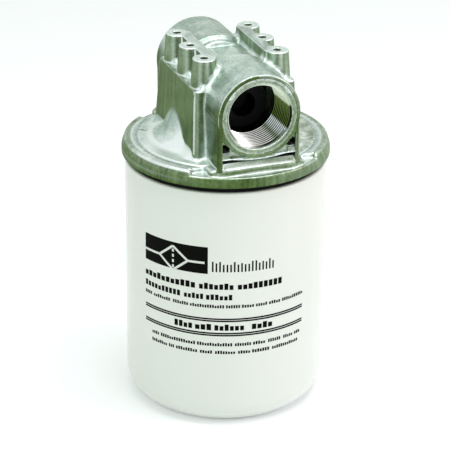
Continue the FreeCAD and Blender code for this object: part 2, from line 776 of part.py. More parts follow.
def make_passages():
    """Everything that oil flows through."""
    foot = HEAD_FOOT
    ring_outer = cone("annulus_outer", "annulus_low_radius", "annulus_high_radius", foot + " - 1",
                      "annulus_height + 1")
    ring_inner = upright("annulus_inner", "annulus_inner_radius", foot + " - 2", "annulus_height + 4")
    annulus = cut("annulus", ring_outer, [ring_inner])
    chamber_cone = cone("chamber_cone", "chamber_low_radius", "chamber_high_radius",
                        foot + " + annulus_height - 2", "chamber_top_height - annulus_height + 2")
    chamber_box = box("chamber_box", "-chamber_half_width", "-chamber_low_radius",
                      foot + " + annulus_height - 2", "2 * chamber_half_width",
                      "chamber_low_radius - chamber_back", "chamber_shoulder_height - annulus_height + 2")
    chamber_roof = lying("chamber_roof", "chamber_roof_radius", "-chamber_low_radius",
                         "chamber_low_radius - chamber_back", PORT_AXIS)
    chamber_hull = fuse("chamber_hull", [chamber_box, chamber_roof])
    tower = upright("tower_outside", "annulus_inner_radius", foot, "boss_top_height")
    pad = lying("valve_pad", "valve_pad_radius", "-valve_pad_reach", "valve_pad_reach", VALVE_AXIS)
    chamber = cut("chamber", common("chamber_shape", chamber_cone, chamber_hull), [tower, pad])
    hub_bore = upright("hub_bore", "nipple_radius + seat_gap", foot + " - 1", "nipple_reach + 1")
    tower_bore = upright("tower_bore", "tower_bore_radius", foot + " + nipple_reach - 1",
                         "tower_bore_top_height - nipple_reach + 1")
    valve_hole = lying("valve_hole", "valve_hole_radius", "-valve_pad_reach - 1", "valve_pad_reach + 1",
                       VALVE_AXIS)
    hub_face = upright("hub_face", "annulus_inner_radius + 1", foot + " - 1", "hub_recess + 1")
    inlet = lying("inlet_bore", "port_bore_radius", "-port_reach - 1", "port_wall_length + 1", PORT_AXIS)
    inlet_relief = lying("inlet_relief", "port_bore_radius + port_relief", "-port_reach + port_wall_length",
                         "port_relief_length", PORT_AXIS)
    inlet_mouth = lying_cone("inlet_mouth", "port_mouth_radius", "port_bore_radius", "-port_reach",
                             "port_mouth_depth", PORT_AXIS)
    outlet = lying("outlet_bore", "port_bore_radius", "port_reach - port_wall_length", "port_wall_length + 1",
                   PORT_AXIS)
    outlet_mouth = lying_cone("outlet_mouth", "port_bore_radius", "port_mouth_radius",
                              "port_reach - port_mouth_depth", "port_mouth_depth", PORT_AXIS)
    outlet_duct = lying("outlet_duct", "outlet_duct_radius", "tower_bore_radius / 2",
                        "port_reach - port_wall_length - tower_bore_radius / 2 + 1", PORT_AXIS)
    return [annulus, chamber, hub_bore, tower_bore, valve_hole, hub_face, inlet, inlet_relief, inlet_mouth,
            outlet, outlet_mouth, outlet_duct]


# Bypass valve: a nylon body pressed into the wall between the two chambers, with a sprung poppet behind its seat.
def make_bypass_body():
    front = "-valve_pad_reach - seat_gap - valve_flange_thickness"
    back = "-valve_barrel_end"
    outer = "valve_hole_radius - valve_body_gap"
    plain = lying("bypass_barrel", outer, "-valve_pad_reach - 1", "valve_pad_reach + 1 - valve_cage_end", VALVE_AXIS)
    flange = lying("bypass_flange", "valve_flange_radius", front, "valve_flange_thickness", VALVE_AXIS)
    ring_middle = "valve_hole_radius + valve_ring_offset"
    ring_room = "(valve_ring_section + valve_ring_gap)"
    groove_start = "-valve_pad_reach - 2 * " + ring_room
    groove = cut("bypass_groove",
                 lying("bypass_groove_outer", ring_middle + " + " + ring_room, groove_start,
                       "2 * " + ring_room, VALVE_AXIS),
                 [lying("bypass_groove_inner", ring_middle + " - " + ring_room, groove_start,
                        "2 * " + ring_room, VALVE_AXIS)])
    solid = fuse("bypass_blank", [plain, flange])
    seat = lying("bypass_seat_bore", "valve_seat_radius", front + " - 1", "valve_pad_reach + 3", VALVE_AXIS)
    cage = lying("bypass_cage_bore", "valve_cage_inner_radius", back, "valve_barrel_end", VALVE_AXIS)
    window_foot = back + " + 1"
    window_length = "valve_barrel_end - valve_cage_end - 3.5"
    windows = []
    for turn in (0, 90):
        window = doc.addObject("Part::Box", "bypass_window_%d" % turn)
        window.Placement.Rotation = FreeCAD.Rotation(FreeCAD.Vector(0, 1, 0), turn + 45)
        half = "(valve_cage_inner_radius - valve_rib_width / 2)"
        reach = "(valve_hole_radius + 2)"
        angle = turn + 45
        bind(window, {
            "Length": "2 * " + reach, "Width": window_length, "Height": "2 * valve_seat_radius - valve_rib_width",
            "Placement.Base.x": "-%s * cos(%d) - (valve_seat_radius - valve_rib_width / 2) * sin(%d)"
                                % (reach, angle, angle),
            "Placement.Base.y": window_foot,
            "Placement.Base.z": "%s + %s * sin(%d) - (valve_seat_radius - valve_rib_width / 2) * cos(%d)"
                                % (VALVE_AXIS, reach, angle, angle),
        })
        windows.append(window)
    return named(cut("bypass_body_moulded", solid, [seat, cage, groove] + windows), "bypass_body")


def make_bypass_retainer():
    """The end disc of the cage, which guides the stem and holds the spring."""
    start = "-valve_cage_end - cage_end_thickness"
    disc = lying("bypass_retainer_disc", "valve_cage_inner_radius - seat_gap", start, "cage_end_thickness",
                 VALVE_AXIS)
    guide = lying("bypass_retainer_guide", "stem_radius + stem_guide_gap", start + " - 1",
                  "cage_end_thickness + 2", VALVE_AXIS)
    return named(cut("bypass_retainer_turned", disc, [guide]), "bypass_retainer")


def make_poppet():
    face = "-valve_barrel_end + seal_thickness + 2 * seat_gap"
    disc = lying("poppet_disc", "poppet_radius", face, "poppet_thickness", VALVE_AXIS)
    stem = lying("poppet_stem", "stem_radius", face,
                 "valve_barrel_end - seal_thickness - valve_cage_end + 0.5", VALVE_AXIS)
    return named(fuse("poppet_moulded", [disc, stem]), "bypass_poppet")


def make_poppet_seal():
    seal = lying("poppet_seal_disc", "seal_radius", "-valve_barrel_end + seat_gap", "seal_thickness", VALVE_AXIS)
    return named(seal, "poppet_seal")


def make_valve_spring():
    """The coil between the poppet and the retainer, swept along a helix round the valve's axis."""
    start = "-valve_barrel_end + seal_thickness + poppet_thickness + 3 * seat_gap + valve_wire_radius"
    length = "(valve_barrel_end - seal_thickness - poppet_thickness - valve_cage_end - cage_end_thickness" \
             " - 4 * seat_gap - 2 * valve_wire_radius)"
    helix = doc.addObject("Part::Helix", "bypass_spring_path")
    helix.Placement.Rotation = TO_Y
    bind(helix, {"Radius": "valve_spring_radius", "Height": length, "Pitch": length + " / valve_spring_turns",
                 "Placement.Base.y": start, "Placement.Base.z": VALVE_AXIS})
    wire = doc.addObject("Part::RegularPolygon", "bypass_spring_wire")
    wire.Polygon = 8
    bind(wire, {"Circumradius": "valve_wire_radius", "Placement.Base.x": "valve_spring_radius",
                "Placement.Base.y": start, "Placement.Base.z": VALVE_AXIS})
    doc.recompute()
    coil = doc.addObject("Part::Sweep", "bypass_spring_coil")
    coil.Sections = [wire]
    coil.Spine = (helix, ["Edge%d" % (i + 1) for i in range(len(helix.Shape.Edges))])
    coil.Solid = True
    coil.Frenet = True
    return named(coil, "bypass_spring")


def make_bypass_ring():
    """O-ring under the valve body's flange."""
    ring = doc.addObject("Part::Torus", "bypass_ring_torus")
    ring.Placement.Rotation = TO_Y
    bind(ring, {"Radius1": "valve_hole_radius + valve_ring_offset", "Radius2": "valve_ring_section",
                "Placement.Base.y": "-valve_pad_reach - valve_ring_section", "Placement.Base.z": VALVE_AXIS})
    return named(ring, "bypass_o_ring")


make_can_shell()
make_seal_retainer()
make_can_gasket()
make_tapping_plate()
make_threaded_nipple()
make_upper_end_cap()
make_lower_end_cap()
make_element_grommet()
make_pleated_media()
make_pleat_bands()
make_centre_tube()
make_element_spring()
make_filter_head()
make_bypass_body()
make_bypass_retainer()
make_poppet()
make_poppet_seal()
make_valve_spring()
make_bypass_ring()

doc.recompute()

for obj in doc.Objects:
    states = set(obj.State)
    if states & {"Invalid", "Error"}:
        raise RuntimeError("%s is %s" % (obj.Name, sorted(states)))
for piece in NEST:
    shape = piece.Shape
    if shape.isNull() or not shape.isValid():
        raise RuntimeError("%s has no valid shape" % piece.Label)
for piece in NEST:
    piece.Shape.exportStep(os.path.join("parts", piece.Label + ".step"))
    print(piece.Label, "solids", len(piece.Shape.Solids), "volume", round(piece.Shape.Volume, 1))
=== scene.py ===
import math
import random

import bmesh
import bpy
import numpy as np
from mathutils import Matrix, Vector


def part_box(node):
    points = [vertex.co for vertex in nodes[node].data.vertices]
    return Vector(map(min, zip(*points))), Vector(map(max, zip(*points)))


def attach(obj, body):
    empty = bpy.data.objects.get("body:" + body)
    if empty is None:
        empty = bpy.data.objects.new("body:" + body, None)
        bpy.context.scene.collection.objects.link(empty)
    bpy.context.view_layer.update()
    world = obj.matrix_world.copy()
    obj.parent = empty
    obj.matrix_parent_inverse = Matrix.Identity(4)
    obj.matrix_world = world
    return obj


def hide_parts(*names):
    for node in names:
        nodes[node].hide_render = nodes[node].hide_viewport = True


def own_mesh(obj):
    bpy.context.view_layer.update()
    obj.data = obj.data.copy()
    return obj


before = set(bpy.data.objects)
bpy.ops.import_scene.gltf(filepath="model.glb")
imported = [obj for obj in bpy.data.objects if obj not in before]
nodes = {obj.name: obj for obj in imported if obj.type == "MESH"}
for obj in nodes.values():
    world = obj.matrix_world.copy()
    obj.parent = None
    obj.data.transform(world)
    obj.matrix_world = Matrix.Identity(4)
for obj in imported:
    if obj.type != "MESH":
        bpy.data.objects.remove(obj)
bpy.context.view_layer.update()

import openvdb
from mathutils import Quaternion, Vector

MM = 0.001

# Camera. It stands where the photograph was taken from, worked out from the outlines of the can and the
# flange, and looks a little down on the filter from its inlet side.
def in_scene(name, data):
    """A new object in the scene, at the origin."""
    thing = bpy.data.objects.new(name, data)
    bpy.context.scene.collection.objects.link(thing)
    return thing


camera_data = bpy.data.cameras.new("camera")
camera_data.lens = 163.53
camera_data.sensor_width = 36.0
camera = in_scene("camera", camera_data)
camera_place = Vector((-0.42091, -1.13570, 0.65754))
camera_target = Vector((0.00046, 0.00132, 0.11308))
camera_roll = math.radians(0.48)
camera.location = camera_place
camera.rotation_mode = "QUATERNION"
look = (camera_target - camera_place).to_track_quat("-Z", "Y")
camera.rotation_quaternion = look @ Quaternion((0, 0, 1), camera_roll)
bpy.context.scene.camera = camera
bpy.context.scene.view_settings.view_transform = "Standard"


# Studio. A plain white paper floor keeps the soft shadow, in a white room with three large soft boxes:
# overhead, at the front left and at the right. They are what bare metal shows on its fillets and edges.
def linear(hex_colour):
    """An sRGB hex colour as linear red, green, blue and alpha."""
    parts = [int(hex_colour[i:i + 2], 16) / 255 for i in (1, 3, 5)]
    return [c / 12.92 if c <= 0.04045 else ((c + 0.055) / 1.055) ** 2.4 for c in parts] + [1.0]


def add(tree, kind, inputs=None, **settings):
    """Adds a node with its settings. An input is a value, a hex colour, or a node or socket to link from."""
    node = tree.nodes.new(kind)
    for key, value in settings.items():
        setattr(node, key, value)
    for key, value in (inputs or {}).items():
        if isinstance(value, bpy.types.Node):
            value = value.outputs[0]
        if isinstance(value, bpy.types.NodeSocket):
            tree.links.new(value, node.inputs[key])
        elif isinstance(value, str) and value.startswith("#"):
            node.inputs[key].default_value = linear(value)
        else:
            node.inputs[key].default_value = value
    return node


def seen_straight_or_shiny(tree):
    """1 for rays from the camera, off metal and through glass, which all show the white background."""
    path = add(tree, "ShaderNodeLightPath")
    rays = ("Is Camera Ray", "Is Glossy Ray", "Is Transmission Ray")
    straight, shiny, through = (path.outputs[ray] for ray in rays)
    either = add(tree, "ShaderNodeMath", {0: straight, 1: shiny}, operation="MAXIMUM")
    return add(tree, "ShaderNodeMath", {0: either, 1: through}, operation="MAXIMUM")


world = bpy.data.worlds.new("studio")
bpy.context.scene.world = world
world.use_nodes = True
tree = world.node_tree
tree.nodes.clear()
room = add(tree, "ShaderNodeBackground", {"Color": "#eef6ec", "Strength": 0.52})
white = add(tree, "ShaderNodeBackground", {"Color": "#ffffff", "Strength": 1.0})
backdrop = add(tree, "ShaderNodeMixShader", {0: seen_straight_or_shiny(tree), 1: room, 2: white})
add(tree, "ShaderNodeOutputWorld", {"Surface": backdrop})

floor_reach = 4.0
floor_mesh = bpy.data.meshes.new("floor")
floor_mesh.from_pydata([(-floor_reach, -floor_reach, 0), (floor_reach, -floor_reach, 0),
                        (floor_reach, floor_reach, 0), (-floor_reach, floor_reach, 0)], [], [(0, 1, 2, 3)])
floor = in_scene("floor", floor_mesh)
floor_paper = bpy.data.materials.new("white_studio_paper")
floor_paper.use_nodes = True
tree = floor_paper.node_tree
tree.nodes.clear()
paper = add(tree, "ShaderNodeBsdfDiffuse", {"Color": "#f0f3f6"})
lift = add(tree, "ShaderNodeEmission", {"Color": "#ffffff", "Strength": 0.24})
lifted = add(tree, "ShaderNodeAddShader", {0: paper, 1: lift})
paper_mix = add(tree, "ShaderNodeMixShader", {0: seen_straight_or_shiny(tree), 1: paper, 2: lifted})
add(tree, "ShaderNodeOutputMaterial", {"Surface": paper_mix})
floor_mesh.materials.append(floor_paper)


def soft_box(name, place, target, size, power, colour):
    """A square area lamp aimed at a point."""
    lamp_data = bpy.data.lights.new(name, "AREA")
    lamp_data.size = size
    lamp_data.energy = power
    lamp_data.color = linear(colour)[:3]
    lamp = in_scene(name, lamp_data)
    lamp.location = place
    lamp.rotation_euler = (Vector(target) - Vector(place)).to_track_quat("-Z", "Y").to_euler()


soft_box("top_light", (0.15, -0.15, 1.5), (0, 0, 0.15), 1.0, 11.0, "#ffffff")
soft_box("left_light", (-0.95, -0.75, 1.15), (0, 0, 0.18), 0.7, 4.2, "#f8fff6")
soft_box("right_light", (1.2, -0.8, 0.85), (0, 0, 0.12), 0.7, 6.8, "#ffeaf6")


# Can. Deep-drawn steel, rolled over at the rim and rounded at the bottom, in white baked enamel: smooth and
# glossy, with the faint orange peel and the faint cloud that sprayed enamel leaves.
can_radius = 64.5
can_wall = 1.0
can_rim_height = 163.5
can_corner = 16.3
seam_width = 2.6
seam_depth = 3.0
seam_round = 1.1
can_foot_radius = 36.0
can_foot_recess = 3.0
foot_slope = 3.0


def new_material(name):
    """An empty material, with its tree and the object coordinates that its patterns follow."""
    material = bpy.data.materials.new(name)
    material.use_nodes = True
    material.node_tree.nodes.clear()
    return material, material.node_tree, add(material.node_tree, "ShaderNodeTexCoord").outputs["Object"]


white_enamel, tree, place = new_material("white_baked_enamel")
orange_peel = add(tree, "ShaderNodeTexNoise", {"Vector": place, "Scale": 420.0, "Detail": 2.0})
peel_skin = add(tree, "ShaderNodeBump", {"Height": orange_peel, "Distance": 0.012 * MM})
cloud = add(tree, "ShaderNodeTexNoise", {"Vector": place, "Scale": 18.0, "Detail": 3.0})
enamel_tone = add(tree, "ShaderNodeMix", {"Factor": cloud, 6: "#edf2ea", 7: "#f2f5ef"}, data_type="RGBA")
enamel = add(tree, "ShaderNodeBsdfPrincipled", {
    "Base Color": enamel_tone.outputs[2], "Roughness": 0.22, "Coat Weight": 0.3, "Coat Roughness": 0.08,
    "Normal": peel_skin})
add(tree, "ShaderNodeOutputMaterial", {"Surface": enamel})


def corner_arc(before, corner, after, radius, steps):
    """Points of the arc that rounds one corner of an outline."""
    a, b, c = (np.array(p, float) for p in (before, corner, after))
    u, v = (a - b) / np.linalg.norm(a - b), (c - b) / np.linalg.norm(c - b)
    half = math.acos(np.clip(u @ v, -1, 1)) / 2
    centre = b + (u + v) / np.linalg.norm(u + v) * radius / math.sin(half)
    start, end = b + u * radius / math.tan(half) - centre, b + v * radius / math.tan(half) - centre
    turn = math.atan2(start[0] * end[1] - start[1] * end[0], start @ end)
    points = []
    for i in range(steps + 1):
        angle = turn * i / steps
        cos, sin = math.cos(angle), math.sin(angle)
        points.append((centre[0] + cos * start[0] - sin * start[1],
                       centre[1] + sin * start[0] + cos * start[1]))
    return points


def rounded_outline(corners):
    """An outline of (radius, height, rounding) corners in mm, with each rounding turned into an arc."""
    outline = []
    count = len(corners)
    for i, (across, up, rounding) in enumerate(corners):
        if rounding:
            steps = max(4, min(16, int(rounding * 4)))
            before, after = corners[i - 1][:2], corners[(i + 1) % count][:2]
            outline += corner_arc(before, (across, up), after, rounding, steps)
        else:
            outline.append((across, up))
    return outline


def mesh_object(name, points, faces, material, sharp_angle=35.0):
    """A closed mesh from points in mm, shaded smooth apart from its real edges."""
    mesh = bpy.data.meshes.new(name)
    mesh.from_pydata([tuple(np.array(p, float) * MM) for p in points], [], faces)
    work = bmesh.new()
    work.from_mesh(mesh)
    bmesh.ops.remove_doubles(work, verts=work.verts, dist=1e-7)
    bmesh.ops.recalc_face_normals(work, faces=work.faces)
    work.to_mesh(mesh)
    work.free()
    mesh.polygons.foreach_set("use_smooth", [True] * len(mesh.polygons))
    mesh.set_sharp_from_angle(angle=math.radians(sharp_angle))
    mesh.materials.append(material)
    return in_scene(name, mesh)


def turned(name, corners, material, sides):
    """A piece turned about Z from a closed outline of (radius, height, rounding) corners in mm."""
    outline = rounded_outline(corners)
    turns = [2 * math.pi * i / sides for i in range(sides)]
    points, rings = [], []
    for across, up in outline:
        if across < 1e-6:
            rings.append([len(points)] * sides)
            points.append((0, 0, up))
        else:
            rings.append(list(range(len(points), len(points) + sides)))
            points += [(across * math.cos(turn), across * math.sin(turn), up) for turn in turns]
    faces = []
    for near, far in zip(rings, rings[1:] + rings[:1]):
        for i in range(sides):
            j = (i + 1) % sides
            face = list(dict.fromkeys((near[i], near[j], far[j], far[i])))
            if len(face) > 2:
                faces.append(face)
    return mesh_object(name, points, faces, material)


inner_wall = can_radius - can_wall
can = turned("can", [
    (0, can_foot_recess, 0), (can_foot_radius - foot_slope, can_foot_recess, 1.2), (can_foot_radius, 0, 1.0),
    (can_radius, 0, can_corner), (can_radius, can_rim_height, seam_round),
    (can_radius - seam_width, can_rim_height, 0.8), (can_radius - seam_width, can_rim_height - seam_depth, 0),
    (inner_wall, can_rim_height - seam_depth, 0), (inner_wall, can_wall, can_corner - can_wall),
    (can_foot_radius, can_wall, 1.5), (can_foot_radius - foot_slope, can_foot_recess + can_wall, 1.0),
    (0, can_foot_recess + can_wall, 0),
], white_enamel, sides=224)
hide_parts("can_shell")
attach(can, "can")


# Print on the can. One colour of screen ink on the enamel, a dull near-black. A plain block holds the drawing
# symbol for a filter, its lines left as bare enamel. Two double rules cross the label, and rows of small bars
# stand where lines of print would be.
def grained_material(name, scale, detail, dark, light, shader, bump=0.0):
    """A material in which one fine noise shades the colour and, with a bump in mm, raises the skin."""
    material, tree, place = new_material(name)
    grain = add(tree, "ShaderNodeTexNoise", {"Vector": place, "Scale": scale, "Detail": detail})
    tone = add(tree, "ShaderNodeMix", {"Factor": grain, 6: dark, 7: light}, data_type="RGBA")
    surface = add(tree, "ShaderNodeBsdfPrincipled", {"Base Color": tone.outputs[2], **shader})
    if bump:
        skin = add(tree, "ShaderNodeBump", {"Height": grain, "Distance": bump * MM})
        tree.links.new(skin.outputs[0], surface.inputs["Normal"])
    add(tree, "ShaderNodeOutputMaterial", {"Surface": surface})
    return material


screen_ink = grained_material("black_screen_ink", 900.0, 2.0, "#020301", "#080a06",
                              {"Roughness": 0.7, "Specular IOR Level": 0.06})
bare_enamel_line = grained_material("enamel_left_bare", 400.0, 2.0, "#e2e6e0", "#eaeee8", {"Roughness": 0.3})
print_sink = 0.05
ink_thickness = 0.06
facet_angle = 2.0
degrees_per_mm = math.degrees(1 / can_radius)


def on_can(degrees, radius, up):
    """A point in mm, at an angle round from the can's front."""
    angle = math.radians(degrees)
    return radius * math.sin(angle), -radius * math.cos(angle), up


def strip_faces(first, steps):
    """The four sides and the two ends of a strip whose points come in fours."""
    faces = []
    for a in range(first, first + 4 * steps, 4):
        b = a + 4
        faces += [(a, b, b + 1, a + 1), (a + 2, a + 3, b + 3, b + 2),
                  (a, a + 2, b + 2, b), (a + 1, b + 1, b + 3, a + 3)]
    last = first + 4 * steps
    return faces + [(first, first + 1, first + 3, first + 2), (last, last + 2, last + 3, last + 1)]


def strip_on_can(start, end, low, high, thickness, points, faces):
    """Adds a level strip between two angles, in short facets that follow the can's curve."""
    steps = max(1, int(math.ceil((end - start) / facet_angle)))
    faces += strip_faces(len(points), steps)
    for i in range(steps + 1):
        for radius in (can_radius - print_sink, can_radius + thickness):
            for up in (low, high):
                points.append(on_can(start + (end - start) * i / steps, radius, up))


block_span = (-71.0, -29.7)
block_heights = (108.75, 127.0)
rule_span = (-71.2, 29.6)
rule_thickness = 1.05
fields = ([], [])
strip_on_can(*block_span, *block_heights, ink_thickness, *fields)
for rule_height in (76.95, 66.9):
    for rise in (-1.25, 0.2):
        foot = rule_height + rise
        strip_on_can(*rule_span, foot, foot + rule_thickness, ink_thickness, *fields)
print_fields = mesh_object("print_fields", *fields, screen_ink)
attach(print_fields, "can")

# each row: foot and top of its bars, width of a bar and of a gap, and the spans of its words in degrees
print_rows = [
    (110.4, 117.4, 1.0, 1.25, [(-27.4, 8.0)]),
    (98.3, 102.6, 2.6, 0.8, [(-71.0, -37.0), (-34.6, -15.4), (-12.9, 13.4)]),
    (91.0, 94.8, 2.1, 0.75, [(-71.0, -46.0), (-43.5, -32.3), (-30.6, -16.0)]),
    (85.4, 87.6, 1.2, 0.45, [(-71.1, -65.8), (-64.2, -52.5), (-50.5, -41.1), (-39.9, -20.5),
                             (-19.4, -11.6), (-10.5, -3.6), (-2.4, 4.2), (5.5, 12.6), (14.0, 29.6)]),
    (69.7, 74.0, 2.5, 0.8, [(-49.5, -38.7), (-36.9, -27.7), (-25.8, -9.2), (-4.6, 7.6)]),
    (58.6, 60.9, 1.2, 0.45, [(-65.6, -60.5), (-59.0, -36.9), (-35.7, -15.8), (-14.2, -5.0), (-3.8, 3.4),
                             (5.3, 13.2), (15.3, 22.0), (23.5, 27.8)]),
    (53.1, 55.4, 1.2, 0.45, [(-65.7, -54.7), (-53.3, -49.9), (-48.6, -35.7), (-34.0, -27.1), (-25.4, -14.1),
                             (-12.4, -5.5), (-4.3, 6.0), (7.9, 26.2)]),
]
random.seed(7)
bar_shares = (0.74, 0.86, 1.0, 1.0)
bar_places, bar_sizes = [], []
for low, high, bar, gap, words in print_rows:
    for start, end in words:
        pitch = (bar + gap) * degrees_per_mm
        count = max(1, round((end - start + gap * degrees_per_mm) / pitch))
        pitch = (end - start + gap * degrees_per_mm) / count
        width = pitch / degrees_per_mm - gap
        for i in range(count):
            tall = (high - low) * random.choice(bar_shares)
            middle = start + pitch * i + width * degrees_per_mm / 2
            bar_places.append(on_can(middle, can_radius, low + tall / 2))
            bar_sizes.append((width, 1.0, tall))
bar_seed = bpy.data.meshes.new("bar_seed")
bar_seed.from_pydata([tuple(v * MM for v in point) for point in bar_places], [], [])
bar_size = bar_seed.attributes.new("bar_size", "FLOAT_VECTOR", "POINT")
bar_size.data.foreach_set("vector", [v for size in bar_sizes for v in size])


def shape_tree(name, sizes):
    """A Geometry Nodes tree with a geometry socket each way, named size inputs, and one for the finish."""
    tree = bpy.data.node_groups.new(name, "GeometryNodeTree")
    tree.interface.new_socket("Geometry", in_out="INPUT", socket_type="NodeSocketGeometry")
    sockets = {}
    for size_name, kind in sizes + [("Finish", "NodeSocketMaterial")]:
        socket = tree.interface.new_socket(size_name, in_out="INPUT", socket_type=kind)
        sockets[size_name] = socket.identifier
    tree.interface.new_socket("Geometry", in_out="OUTPUT", socket_type="NodeSocketGeometry")
    return tree, tree.nodes.new("NodeGroupInput").outputs, sockets


def end_tree(tree, given, geometry):
    """Ends a tree: its instances made real, with the finish on them."""
    real = add(tree, "GeometryNodeRealizeInstances", {0: geometry})
    finished = add(tree, "GeometryNodeSetMaterial", {"Geometry": real, "Material": given["Finish"]})
    add(tree, "NodeGroupOutput", {0: finished})


def keep_result(piece, modifier):
    """Gives a piece the plain mesh that its modifier makes, and takes the modifier off."""
    bpy.context.view_layer.update()
    result = bpy.data.meshes.new_from_object(piece.evaluated_get(bpy.context.evaluated_depsgraph_get()))
    piece.modifiers.remove(modifier)
    piece.data = result
    result.name = piece.name
    return result


def shaped(name, mesh, tree, sockets, values):
    """The plain mesh that a tree makes from a mesh and its input values, as a new object."""
    piece = in_scene(name, mesh)
    shape = piece.modifiers.new("shape", "NODES")
    shape.node_group = tree
    for size_name, value in values.items():
        shape[sockets[size_name]] = value
    keep_result(piece, shape)
    return piece


tree, given, sockets = shape_tree("print_bars", [("Bar depth", "NodeSocketFloat")])
spot = add(tree, "ShaderNodeSeparateXYZ", {0: add(tree, "GeometryNodeInputPosition")})
outward = add(tree, "ShaderNodeMath", {0: spot.outputs["Y"], 1: -1.0}, operation="MULTIPLY")
facing = add(tree, "ShaderNodeMath", {0: spot.outputs["X"], 1: outward}, operation="ARCTAN2")
turn = add(tree, "ShaderNodeCombineXYZ", {"Z": facing})
block = add(tree, "ShaderNodeCombineXYZ", {"X": MM, "Y": given["Bar depth"], "Z": MM})
bar = add(tree, "GeometryNodeMeshCube", {"Size": block})
sizes = add(tree, "GeometryNodeInputNamedAttribute", {"Name": "bar_size"}, data_type="FLOAT_VECTOR")
bars = add(tree, "GeometryNodeInstanceOnPoints", {"Points": given["Geometry"], "Instance": bar,
                                                  "Rotation": turn, "Scale": sizes})
end_tree(tree, given, bars)
print_bars = shaped("print_bars", bar_seed, tree, sockets, {
    "Bar depth": 2 * ink_thickness * MM, "Finish": screen_ink})
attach(print_bars, "can")

# the filter's drawing symbol: a line in at the left, a diamond with a dashed line down it, and a line out
symbol_middle = -50.4
symbol_height = 116.2
symbol_line = 1.5
line_lift = 0.11
dash_half_angle = 0.6
dash_start = 6.6
dash_pitch = 3.6
dash_length = 2.0
piece_length = 2.0
symbol = ([], [])
line_low, line_high = symbol_height - symbol_line / 2, symbol_height + symbol_line / 2
for start, end in ((-71.0, -59.6), (-41.2, -31.5)):
    strip_on_can(start, end, line_low, line_high, line_lift, *symbol)
for i in range(4):
    foot = symbol_height - dash_start + dash_pitch * i
    strip_on_can(symbol_middle - dash_half_angle, symbol_middle + dash_half_angle, foot, foot + dash_length,
                 line_lift, *symbol)


def slanted_line(start, end, width, points, faces):
    """Adds one slanted line of the symbol, as a strip cut into short pieces along its length."""
    (a0, z0), (a1, z1) = start, end
    across, up = (a1 - a0) / degrees_per_mm, z1 - z0
    length = math.hypot(across, up)
    side = (-up / length * width / 2 * degrees_per_mm, across / length * width / 2)
    pieces = max(1, int(length / piece_length))
    faces += strip_faces(len(points), pieces)
    for i in range(pieces + 1):
        t = i / pieces
        for sign in (-1, 1):
            turn, rise = a0 + (a1 - a0) * t + sign * side[0], z0 + up * t + sign * side[1]
            for radius in (can_radius - print_sink, can_radius + line_lift):
                points.append(on_can(turn, radius, rise))


diamond_half = 8.2
diamond_stretch = 1.25
diamond_reach = diamond_half * degrees_per_mm * diamond_stretch
diamond = [(symbol_middle - diamond_reach, symbol_height), (symbol_middle, symbol_height + diamond_half),
           (symbol_middle + diamond_reach, symbol_height), (symbol_middle, symbol_height - diamond_half)]
for start, end in zip(diamond, diamond[1:] + diamond[:1]):
    slanted_line(start, end, symbol_line, *symbol)
print_symbol = mesh_object("print_symbol", *symbol, bare_enamel_line)
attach(print_symbol, "can")


# Gasket. Square-cut black nitrile rubber, pressed between the can's retainer and the flange: dull, with the
# fine scratches of the mould and slightly rounded corners.
black_nitrile = grained_material("moulded_nitrile_rubber", 1100.0, 3.0, "#070807", "#111211",
                                 {"Roughness": 0.62, "Specular IOR Level": 0.25}, bump=0.03)
gasket_inner = 54.0
gasket_outer = 60.6
gasket_low, gasket_high = (corner.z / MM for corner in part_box("can_gasket"))
gasket = turned("gasket", [
    (gasket_inner, gasket_low, 0.5), (gasket_outer, gasket_low, 0.5), (gasket_outer, gasket_high, 0.9),
    (gasket_inner, gasket_high, 0.9),
], black_nitrile, sides=160)
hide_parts("can_gasket")
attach(gasket, "gasket")


# Steel parts under the flange and inside the can. They are pressed or cut from sheet and zinc plated: a cool
# grey with a faint yellow-blue cloud from the passivation.
def dress(material, *names):
    """Gives a finish to CAD pieces whose shape stays as it is."""
    for name in names:
        nodes[name].data.materials.clear()
        nodes[name].data.materials.append(material)


zinc_plate, tree, place = new_material("zinc_plated_steel")
spangle = add(tree, "ShaderNodeTexVoronoi", {"Vector": place, "Scale": 160.0})
zinc_tone = add(tree, "ShaderNodeMix", {"Factor": spangle, 6: "#9da3a6", 7: "#b9bab0"}, data_type="RGBA")
brush = add(tree, "ShaderNodeTexNoise", {"Vector": place, "Scale": 700.0, "Detail": 4.0})
brushed = add(tree, "ShaderNodeMapRange", {"Value": brush, "To Min": 0.28, "To Max": 0.46})
zinc_skin = add(tree, "ShaderNodeBump", {"Height": brush, "Distance": 0.01 * MM})
zinc = add(tree, "ShaderNodeBsdfPrincipled", {"Base Color": zinc_tone.outputs[2], "Metallic": 1.0,
                                              "Roughness": brushed, "Normal": zinc_skin})
add(tree, "ShaderNodeOutputMaterial", {"Surface": zinc})
dress(zinc_plate, "seal_retainer", "tapping_plate", "upper_end_cap", "lower_end_cap", "centre_tube")


# Springs. Tempered spring steel wire, blue-grey and a little straw-coloured where it was stress relieved. The
# bypass spring is a coil with closed ends, ground flat where they press on the poppet and the retainer; it
# shortens by the valve's lift.
spring_wire = grained_material("tempered_spring_steel", 60.0, 3.0, "#53555a", "#6d6a62",
                               {"Metallic": 1.0, "Roughness": 0.34})
dress(spring_wire, "element_spring")
valve_wire = 0.6
coil_turns = 4.0
closed_turns = 0.75
ground_share = 0.5
steps_a_turn = 56
wire_sides = 14
spring_low, spring_high = (np.array(corner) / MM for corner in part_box("bypass_spring"))
spring_middle = (spring_low + spring_high) / 2
coil_radius = (spring_high[0] - spring_low[0]) / 2 - valve_wire
end_room = valve_wire * (1 - ground_share)
travel = spring_high[1] - spring_low[1] - 2 * end_room
open_rise = (travel - 2 * closed_turns * 2 * valve_wire) / (coil_turns - 2 * closed_turns)
coil_steps = int(coil_turns * steps_a_turn)
coil_points = []
